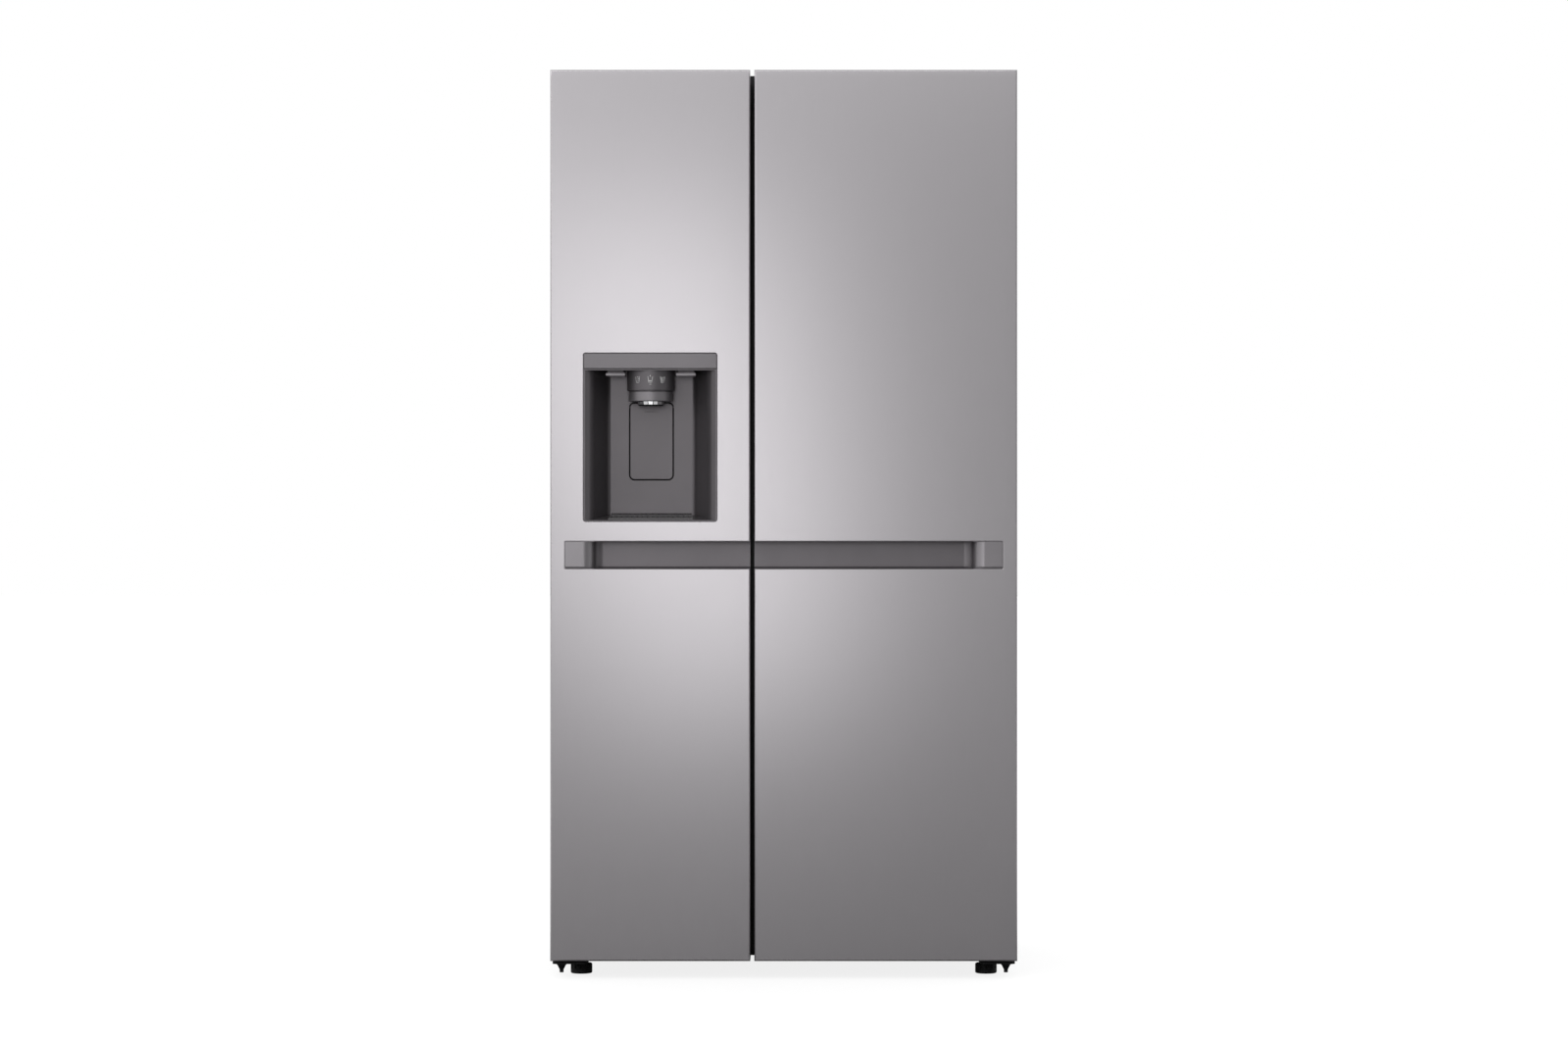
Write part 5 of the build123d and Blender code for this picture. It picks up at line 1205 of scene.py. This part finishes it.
def top_trim():
    """Folded black trim along the top's front edge, with three low ribs."""
    low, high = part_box("top_cover")
    inner_z = high.z - TRIM_WALL
    bm = along_x((
        (low.y, low.z), (low.y, high.z), (high.y, high.z), (high.y, case_high.z),
        (high.y - TRIM_WALL, case_high.z), (high.y - TRIM_WALL, inner_z), (low.y + TRIM_WALL, inner_z),
        (low.y + TRIM_WALL, low.z),
    ), low.x, high.x)
    soften(bm, bm.edges[:], TRIM_EDGE_R, 2)
    rib_y = high.y - TRIM_RIB_IN
    for x in TRIM_RIBS_X:
        add_box(
            bm, (x - TRIM_RIB_HALF_W, rib_y - TRIM_RIB_D, high.z - TRIM_RIB_H),
            (x + TRIM_RIB_HALF_W, rib_y, high.z), TRIM_RIB_R, 1,
        )
    settle(bm)
    finish_piece("top_trim", bm, ["black_plastic"], "cabinet", "top_cover")


def hinge_cover_caps():
    """Covers over the upper hinges: a rounded hood with a nose that reaches over the door."""
    low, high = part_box("hinge_covers")
    bm = bmesh.new()
    for side in (-1, 1):
        x0, x1 = sorted((side * high.x, side * (high.x - HOOD_W)))
        hood = bmesh.new()
        add_box(hood, (x0, case_front_y, case_high.z), (x1, high.y, high.z))
        for vert in hood.verts:
            if near(vert.co.z, high.z) and near(vert.co.y, case_front_y):
                vert.co.y += HOOD_LEAN
        soften(hood, [edge for edge in hood.edges if lies_at(edge, z=high.z)], HOOD_R, 6)
        corners = [edge for edge in hood.edges if height_of(edge) > HOOD_CORNER_MIN]
        soften(hood, corners, HOOD_CORNER_R, 4)
        settle(hood)
        nose_x = side * NOSE_X
        add_box(
            hood, (nose_x - NOSE_HALF_W, low.y, NOSE_Z0),
            (nose_x + NOSE_HALF_W, case_front_y + NOSE_ROOT, NOSE_Z1), NOSE_R, 3,
        )
        join(bm, hood)
    finish_piece("hinge_hoods", bm, ["black_plastic"], "cabinet", "hinge_covers")


def mullion_front():
    """Flat front of the mullion with a narrow rib down its middle."""
    low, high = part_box("mullion_strip")
    middle = (low.x + high.x) / 2
    bm = bmesh.new()
    add_box(bm, (low.x, case_front_y, low.z), high, MULLION_R)
    add_box(
        bm, (middle - MULLION_RIB_HALF_W, low.y, MULLION_RIB_Z0),
        (middle + MULLION_RIB_HALF_W, case_front_y + MULLION_RIB_ROOT, MULLION_RIB_Z1), MULLION_RIB_R, 3,
    )
    finish_piece("mullion_front", bm, ["mullion_grey"], "cabinet", "mullion_strip")


# Doors, inside
def door_gasket(name, node, body):
    """Magnetic gasket: dart flange, bellows and magnet bag, mitred at the corners."""
    low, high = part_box(node)
    bm = bmesh.new()
    y0 = low.y
    bag_y = high.y - 0.0002
    ring_of_loops(bm, (low.x, high.x, low.z, high.z), (
        (0.0010, y0), (0.0, y0 + 0.0012), (0.0008, y0 + 0.0026), (0.0035, y0 + 0.0032),
        (0.0018, y0 + 0.0048), (0.0034, y0 + 0.0064), (0.0012, y0 + 0.0078), (0.0004, y0 + 0.0096),
        (0.0012, bag_y), (0.0075, high.y), (0.0138, bag_y), (0.0146, y0 + 0.0096), (0.0136, y0 + 0.0078),
        (0.0112, y0 + 0.0064), (0.0130, y0 + 0.0048), (0.0112, y0 + 0.0032), (0.0142, y0 + 0.0026),
        (0.0150, y0 + 0.0012), (0.0140, y0),
    ))
    settle(bm)
    finish_piece(name, bm, ["gasket_grey"], body, node, sharp=60)


def door_inner(name, node, body, skin_low, skin_high, dike, levels, ledge_z=None):
    """Vacuum formed inner panel: plate, raised dike with rounded shoulders, and the bins' nubs."""
    bm = bmesh.new()
    base = door_back_y
    root = base - DIKE_ROOT
    top = base + DIKE_RISE
    waist = base + DIKE_RISE * 0.6
    add_box(
        bm, (skin_low.x + SHEET, base - PANEL, skin_low.z),
        (skin_high.x - SHEET, base, skin_high.z - LIP_RISE), PANEL_R, 1,
    )
    ring_of_loops(bm, dike, (
        (0.0, root), (0.0015, waist), (0.0025, top - 0.007), (0.0037, top - 0.0028), (0.0062, top - 0.0006),
        (0.0095, top), (0.0165, top), (0.0198, top - 0.0006), (0.0223, top - 0.0028), (0.0236, top - 0.007),
        (0.0246, waist), (DIKE_WIDTH, root),
    ), corner=DIKE_R, closed=False)
    settle(bm)
    inner_x0 = dike[0] + DIKE_WIDTH - NUB_ROOT
    inner_x1 = dike[1] - DIKE_WIDTH + NUB_ROOT
    shelves = [(x0, x0 + NUB_W, z, NUB_R) for z in levels for x0 in (inner_x0, inner_x1 - NUB_W)]
    if ledge_z:
        shelves.append((inner_x0, inner_x1, ledge_z, BUCKET_LEDGE_R))
    for x0, x1, z, radius in shelves:
        add_box(bm, (x0, base - NUB_ROOT, z - NUB_H), (x1, base + NUB_REACH, z), radius)
    finish_piece(name, bm, ["liner_white"], body, node, sharp=50)


def door_caps(name, node, body, skin_low, skin_high, pin_x):
    """Top cap with its front lip and hinge bush, and bottom cap."""
    bm = bmesh.new()
    x0 = skin_low.x + SHEET
    x1 = skin_high.x - SHEET
    y0 = front_y + SHEET
    y1 = door_back_y - PANEL
    cap_z = skin_high.z - LIP_RISE
    lip_y = front_y + HEM - CAP_LIP_SEAM
    add_box(bm, (x0, y0, cap_z - CAP_H), (x1, y1, cap_z - CAP_SEAM), CAP_R)
    add_box(bm, (x0, y0, cap_z - CAP_LAP), (x1, lip_y, skin_high.z - SHEET), CAP_LIP_R)
    add_box(bm, (x0, y0, skin_low.z + CAP_LIFT), (x1, y1, skin_low.z + CAP_H), CAP_R)
    settle(bm)
    for z0 in (cap_z - BUSH_H, skin_low.z):
        z1 = z0 + BUSH_H
        bush = ((BUSH_BORE_R, z0), (BUSH_BORE_R, z1), (BUSH_R, z1), (BUSH_R, z0))
        turn_profile(bm, bush, (pin_x, PIN_Y), 40)
    finish_piece(name, bm, ["cap_grey"], body, node)


def tray_shell(low, high, corner, foot, band):
    """Open tray with rounded upright corners and foot; the band below its rim takes the second finish."""
    bm = bmesh.new()
    low = Vector(low)
    high = Vector(high)
    add_box(bm, low, high)
    bmesh.ops.delete(bm, geom=[face for face in bm.faces if lies_at(face, z=high.z)], context="FACES_ONLY")
    soften(bm, [edge for edge in bm.edges if height_of(edge) > TOUCH], corner, 6)
    soften(bm, [edge for edge in bm.edges if lies_at(edge, z=low.z)], foot, 4)
    cut(bm, "z", high.z - band)
    for face in bm.faces:
        face.material_index = int(face.calc_center_median().z > high.z - band)
    settle(bm)
    look_along(bm, next(face for face in bm.faces if lies_at(face, z=low.z)), -UP)
    return bm


def finish_tray(name, bm, body, node):
    """Clear tray with its wall and a rounded rim, ahead of the even shading."""
    piece = finish_piece(name, bm, ["clear_plastic", "shelf_trim"], body, node, sharp=50)
    add_wall(piece, BIN_WALL, even=True)
    rim = piece.modifiers.new("rim", "BEVEL")
    rim.width = BIN_RIM_R
    rim.segments = 2
    rim.limit_method = "ANGLE"
    rim.angle_limit = math.radians(60)
    piece.modifiers.move(2, 1)


def door_bins(name, node, body, levels):
    low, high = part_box(node)
    bm = bmesh.new()
    for z in levels:
        bin_low = (low.x, low.y, z + BIN_SEAT)
        join(bm, tray_shell(bin_low, (high.x, high.y, z + BIN_H), BIN_R, BIN_FOOT_R, BIN_BAND))
    finish_tray(name, bm, body, node)


def door_foam(name, node, body):
    """Blown foam of a door, trimmed clear of the front sheet's seams and of the inner panel's dike."""
    bm = bmesh.new()
    bm.from_mesh(nodes[node].data)
    merge(bm)
    for y, way in ((door_back_y - FOAM_BACK_SET, 1), (front_y + FOAM_FRONT_SET, -1)):
        trim(bm, y, way)
        bmesh.ops.holes_fill(bm, edges=open_edges(bm), sides=0)
    bmesh.ops.recalc_face_normals(bm, faces=bm.faces)
    finish_piece(name, bm, ["foam"], body, node)


def ice_bin():
    low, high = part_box("ice_bucket")
    bm = tray_shell(low, high, BIN_R, ICE_BIN_FOOT_R, ICE_BIN_BAND)
    finish_tray("ice_bin", bm, "freezer_door", "ice_bucket")


# Compartments
def compartment(name, node, span):
    """Formed liner: rounded cavity with the step over the machine room, and its flange to the case."""
    low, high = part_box(node)
    outline = (
        (case_front_y, FLOOR_Z), (STEP_Y0, FLOOR_Z), (STEP_Y1, STEP_Z), (BACK_Y, STEP_Z), (BACK_Y, ROOF_Z),
        (case_front_y, ROOF_Z),
    )
    bm = along_x(outline, *span, LINER_R)
    mouth = [face for face in bm.faces if lies_at(face, y=case_front_y)]
    bmesh.ops.delete(bm, geom=mouth, context="FACES_ONLY")
    folds = [edge for edge in bm.edges if any(abs(face.normal.x) > 0.9 for face in edge.link_faces)]
    soften(bm, [edge for edge in folds if creased(edge, SQUARE_FOLD)], LINER_SIDE_R, 4)
    rim = open_edges(bm)
    flange = rectangle_loop(bm, low.x, high.x, low.z, high.z, case_front_y)
    bmesh.ops.triangle_fill(bm, use_beauty=True, edges=rim + flange)
    bmesh.ops.recalc_face_normals(bm, faces=bm.faces)
    bm.normal_update()
    look_along(bm, max(bm.faces, key=lambda face: face.calc_center_median().y), FRONT)
    piece = finish_piece(name, bm, ["liner_white"], "cabinet", node, sharp=45)
    add_wall(piece, LINER_WALL)


def shelf_rails():
    """Rails that the shelves and the upper drawers run on."""
    bm = bmesh.new()
    for span, back in ((freezer_span, FREEZER_SHELF_BACK), (fridge_span, FRIDGE_SHELF_BACK)):
        runs = [(z, SHELF_FRONT + RAIL_START, back) for z in shelf_levels]
        runs.append((STEP_Z, DRAWER_FRONT, STEP_Y1))
        for z, y0, y1 in runs:
            for x0 in (span[0] - RAIL_ROOT, span[1] + RAIL_ROOT - RAIL_W):
                add_box(bm, (x0, y0, z - RAIL_H), (x0 + RAIL_W, y1, z - RAIL_SEAM), RAIL_R, 3)
    finish_piece("shelf_rails", bm, ["liner_white"], "cabinet")


def glass_shelves(name, node, span, back):
    """Safety glass in a moulded frame with a taller front bar."""
    glass = bmesh.new()
    surround = bmesh.new()
    x0 = span[0] + SHELF_GAP
    x1 = span[1] - SHELF_GAP
    bar_y = SHELF_FRONT + SHELF_BAR_D
    lap_x = SHELF_RIM_W - SHELF_LAP
    for z in shelf_levels:
        add_box(
            glass, (x0 + GLASS_IN, SHELF_FRONT + GLASS_FRONT_IN, z + GLASS_Z0),
            (x1 - GLASS_IN, back - GLASS_IN, z + GLASS_Z1), GLASS_R, 1,
        )
        bar_low = (x0, SHELF_FRONT, z - SHELF_BAR_HALF_H)
        add_box(surround, bar_low, (x1, bar_y, z + SHELF_BAR_HALF_H), SHELF_BAR_R, 4)
        rims = (
            (x0, bar_y - SHELF_LAP, x0 + SHELF_RIM_W), (x1 - SHELF_RIM_W, bar_y - SHELF_LAP, x1),
            (x0 + lap_x, back - SHELF_RIM_W, x1 - lap_x),
        )
        for rim_x0, rim_y0, rim_x1 in rims:
            add_box(surround, (rim_x0, rim_y0, z), (rim_x1, back, z + SHELF_RIM_H), SHELF_RIM_R, 3)
    finish_piece(name, glass, ["shelf_glass"], "cabinet", node)
    finish_piece(name + "_frames", surround, ["shelf_trim"], "cabinet")


def drawer(node):
    """Clear drawer with a rounded foot, a banded rim and a moulded grip."""
    low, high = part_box(node)
    bm = tray_shell((low.x, DRAWER_FRONT, low.z), high, DRAWER_R, DRAWER_FOOT_R, DRAWER_BAND)
    finish_tray(node + "_tray", bm, node, node)
    grip = bmesh.new()
    middle = (low.x + high.x) / 2
    half = (high.x - low.x) / 4
    add_box(
        grip, (middle - half, low.y, high.z - DRAWER_GRIP_H),
        (middle + half, DRAWER_FRONT + DRAWER_GRIP_ROOT, high.z), DRAWER_GRIP_R, 4,
    )
    finish_piece(node + "_grip", grip, ["shelf_trim"], node)


def chilled_water_tank():
    """Moulded tank with a screw cap that has a raised rim."""
    low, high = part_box("water_tank")
    bm = bmesh.new()
    shoulder_z = high.z - TANK_CAP_H
    add_box(bm, low, (high.x, high.y, shoulder_z), TANK_R, 6)
    settle(bm)
    cap = bmesh.new()
    root_z = shoulder_z - TANK_CAP_ROOT
    sunk_z = high.z - TANK_CAP_SINK
    profile = (
        (0.0, root_z), (TANK_CAP_R, root_z), (TANK_CAP_R, high.z - TANK_CAP_EDGE),
        (TANK_CAP_R - TANK_CAP_EDGE, high.z), (TANK_CAP_R - TANK_CAP_RIM, high.z),
        (TANK_CAP_R - TANK_CAP_RIM - TANK_CAP_DRAFT, sunk_z), (0.0, sunk_z),
    )
    turn_profile(cap, profile, ((low.x + high.x) / 2, TANK_CAP_Y), 64)
    finish_piece("water_tank_body", bm, ["tank_frost"], "cabinet", "water_tank")
    finish_piece("water_tank_cap", cap, ["shelf_trim"], "cabinet")


def fan_guard():
    """Rings of the guard in front of the evaporator fan."""
    cover_low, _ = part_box("evaporator_cover")
    wire_y = cover_low.y + GUARD_IN
    half = GUARD_WIRE_HALF
    bm = bmesh.new()
    for radius in GUARD_RINGS:
        x0 = FAN_X + radius - half
        x1 = FAN_X + radius + half
        section = ((x0, wire_y - half), (x1, wire_y - half), (x1, wire_y + half), (x0, wire_y + half))
        ring = [bm.verts.new((x, y, FAN_Z)) for x, y in section]
        edges = [bm.edges.new(pair) for pair in zip(ring, ring[1:] + ring[:1])]
        spin_round(bm, ring + edges, (FAN_X, wire_y, FAN_Z), (0, 1, 0), 64)
    settle(bm)
    finish_piece("fan_guard", bm, ["liner_white"], "cabinet")


# Assembly
dispenser_opening = (fascia_low.x, fascia_high.x, housing_low.z, fascia_high.z)
door_sheet(
    "freezer_door_front", "freezer_door_skin", "freezer_door", freezer_low, freezer_high, freezer_grip_low.x,
    freezer_high.x, dispenser_opening,
)
door_sheet(
    "fridge_door_front", "fridge_door_skin", "fridge_door", fridge_low, fridge_high, fridge_grip_high.x,
    fridge_low.x,
)
grip_insert("freezer_grip", "freezer_door_grip", "freezer_door", freezer_grip_low.x, freezer_high.x)
grip_insert("fridge_grip", "fridge_door_grip", "fridge_door", fridge_grip_high.x, fridge_low.x)
dispenser_tub()
dispenser_fascia()
dispenser_spout()
dispenser_pictograms()
dispenser_nozzle()
dispenser_paddle()
drip_tray()
cabinet_wrapper()
back_sheet()
top_trim()
hinge_cover_caps()
mullion_front()
for door in ("freezer", "fridge"):
    door_gasket(door + "_gasket", door + "_door_gasket", door + "_door")
door_inner(
    "freezer_inner_panel", "freezer_door_liner", "freezer_door", freezer_low, freezer_high, freezer_dike,
    freezer_bin_levels, BUCKET_Z,
)
door_inner(
    "fridge_inner_panel", "fridge_door_liner", "fridge_door", fridge_low, fridge_high, fridge_dike,
    fridge_bin_levels,
)
door_caps("freezer_caps", "freezer_door_caps", "freezer_door", freezer_low, freezer_high, -NOSE_X)
door_caps("fridge_caps", "fridge_door_caps", "fridge_door", fridge_low, fridge_high, NOSE_X)
door_bins("freezer_bins", "freezer_door_bins", "freezer_door", freezer_bin_levels)
door_bins("fridge_bins", "fridge_door_bins", "fridge_door", fridge_bin_levels)
for door in ("freezer", "fridge"):
    door_foam(door + "_foam_core", door + "_door_foam", door + "_door")
compartment("freezer_compartment", "freezer_liner", freezer_span)
compartment("fridge_compartment", "fridge_liner", fridge_span)
shelf_rails()
glass_shelves("freezer_glass_shelves", "freezer_shelves", freezer_span, FREEZER_SHELF_BACK)
glass_shelves("fridge_glass_shelves", "fridge_shelves", fridge_span, FRIDGE_SHELF_BACK)
for drawer_node in ("lower_freezer_drawer", "upper_freezer_drawer", "lower_crisper", "upper_crisper"):
    drawer(drawer_node)
ice_bin()
chilled_water_tank()
fan_guard()


# Camera and studio
def front_camera():
    """Camera straight in front, with a lens that takes in a set width at the doors' front."""
    view = bpy.data.cameras.new("front_view")
    view.sensor_width = SENSOR_W
    view.lens = SENSOR_W * CAMERA_REACH / VIEW_W
    camera = bpy.data.objects.new("front_view", view)
    scene.collection.objects.link(camera)
    camera.location = (CAMERA_X, front_y - CAMERA_REACH, CAMERA_Z)
    camera.rotation_euler = (math.pi / 2, 0, 0)
    scene.camera = camera


def add_panel_light(name, place, aim, size, watts, roll=0.0):
    """Rectangular soft light, hidden from the camera; its depths are given from the doors' front."""
    light = bpy.data.lights.new(name, "AREA")
    light.shape = "RECTANGLE"
    light.size, light.size_y = size
    light.energy = watts
    lamp = bpy.data.objects.new(name, light)
    scene.collection.objects.link(lamp)
    door_front = Vector((0, front_y, 0))
    lamp.location = Vector(place) + door_front
    turn = (Vector(aim) - Vector(place)).to_track_quat("-Z", "Y").to_matrix()
    lamp.rotation_euler = (turn @ Matrix.Rotation(math.radians(roll), 3, "Z")).to_euler()
    lamp.visible_camera = False


def studio_sky():
    """White where it is seen; metal mirrors a sky that is dim below and brighter above and on the left."""
    world = bpy.data.worlds.new("studio")
    scene.world = world
    world.use_nodes = True
    tree = world.node_tree
    tree.nodes.clear()
    way = split_place(tree, "Generated")

    def white(strength=None):
        node = tree.nodes.new("ShaderNodeBackground")
        node.inputs["Color"].default_value = (1, 1, 1, 1)
        if strength:
            tree.links.new(strength, node.inputs["Strength"])
        return node.outputs["Background"]

    def mixed(share, first, second):
        node = tree.nodes.new("ShaderNodeMixShader")
        for socket, source in zip(node.inputs, (share, first, second)):
            tree.links.new(source, socket)
        return node.outputs["Shader"]

    rise = map_range(tree, way["Z"], SKY_RISE, (0, 1))
    across = map_range(tree, way["X"], SKY_SIDES, SKY_STRENGTHS)
    mirrored = white(combine(tree, "MULTIPLY", rise, across))
    around = white(map_range(tree, way["Z"], ZENITH_RISE, ZENITH_STRENGTHS, "SMOOTHSTEP"))
    front = map_range(tree, way["Y"], SKY_FRONT, (0, 1), "SMOOTHSTEP")
    sky = mixed(seen_directly(tree), mixed(front, around, mirrored), white())
    tree.links.new(sky, tree.nodes.new("ShaderNodeOutputWorld").inputs["Surface"])


def pale_floor():
    """Floor that is pale where it is seen; metal mirrors it pale at the sides and dark straight in front."""
    bm = bmesh.new()
    bmesh.ops.create_grid(bm, x_segments=1, y_segments=1, size=FLOOR_HALF)
    mesh = bpy.data.meshes.new("floor")
    bm.to_mesh(mesh)
    bm.free()
    floor = bpy.data.objects.new("floor", mesh)
    scene.collection.objects.link(floor)
    material, tree, shader = new_finish("pale_floor")
    shader.inputs["Base Color"].default_value = (FLOOR_GREY, FLOOR_GREY, FLOOR_GREY, 1)
    shader.inputs["Roughness"].default_value = FLOOR_ROUGH
    shader.inputs["Emission Color"].default_value = (1, 1, 1, 1)
    place = split_place(tree, "Object")
    aside = combine(tree, "ABSOLUTE", place["X"])
    side = map_range(tree, aside, FLOOR_STRIP, (0, FLOOR_MIRRORED), "SMOOTHSTEP")
    close = map_range(tree, place["Y"], FLOOR_FADE, (0, 1), "SMOOTHSTEP")
    glossy = tree.nodes.new("ShaderNodeLightPath").outputs["Is Glossy Ray"]
    mirrored = combine(tree, "MULTIPLY", glossy, combine(tree, "MULTIPLY", side, close))
    seen = map_range(tree, seen_directly(tree), (0, 1), (0, FLOOR_SEEN))
    tree.links.new(combine(tree, "MAXIMUM", seen, mirrored), shader.inputs["Emission Strength"])
    mesh.materials.append(material)


front_camera()
add_panel_light(
    "front_card", (-0.243, -2.06, 1.05), (-0.243, 0, 1.05), size=(0.56, 1.22), watts=5.18, roll=13
)
add_panel_light("top_card", (-0.2, -1.5, 2.5), (-0.2, 0, 1.9), size=(2.0, 0.6), watts=5.06)
add_panel_light("left_card", (-0.95, -1.9, 1.35), (-0.6, 0, 1.3), size=(0.35, 1.3), watts=2.05)
studio_sky()
pale_floor()
scene.view_settings.view_transform = "Standard"
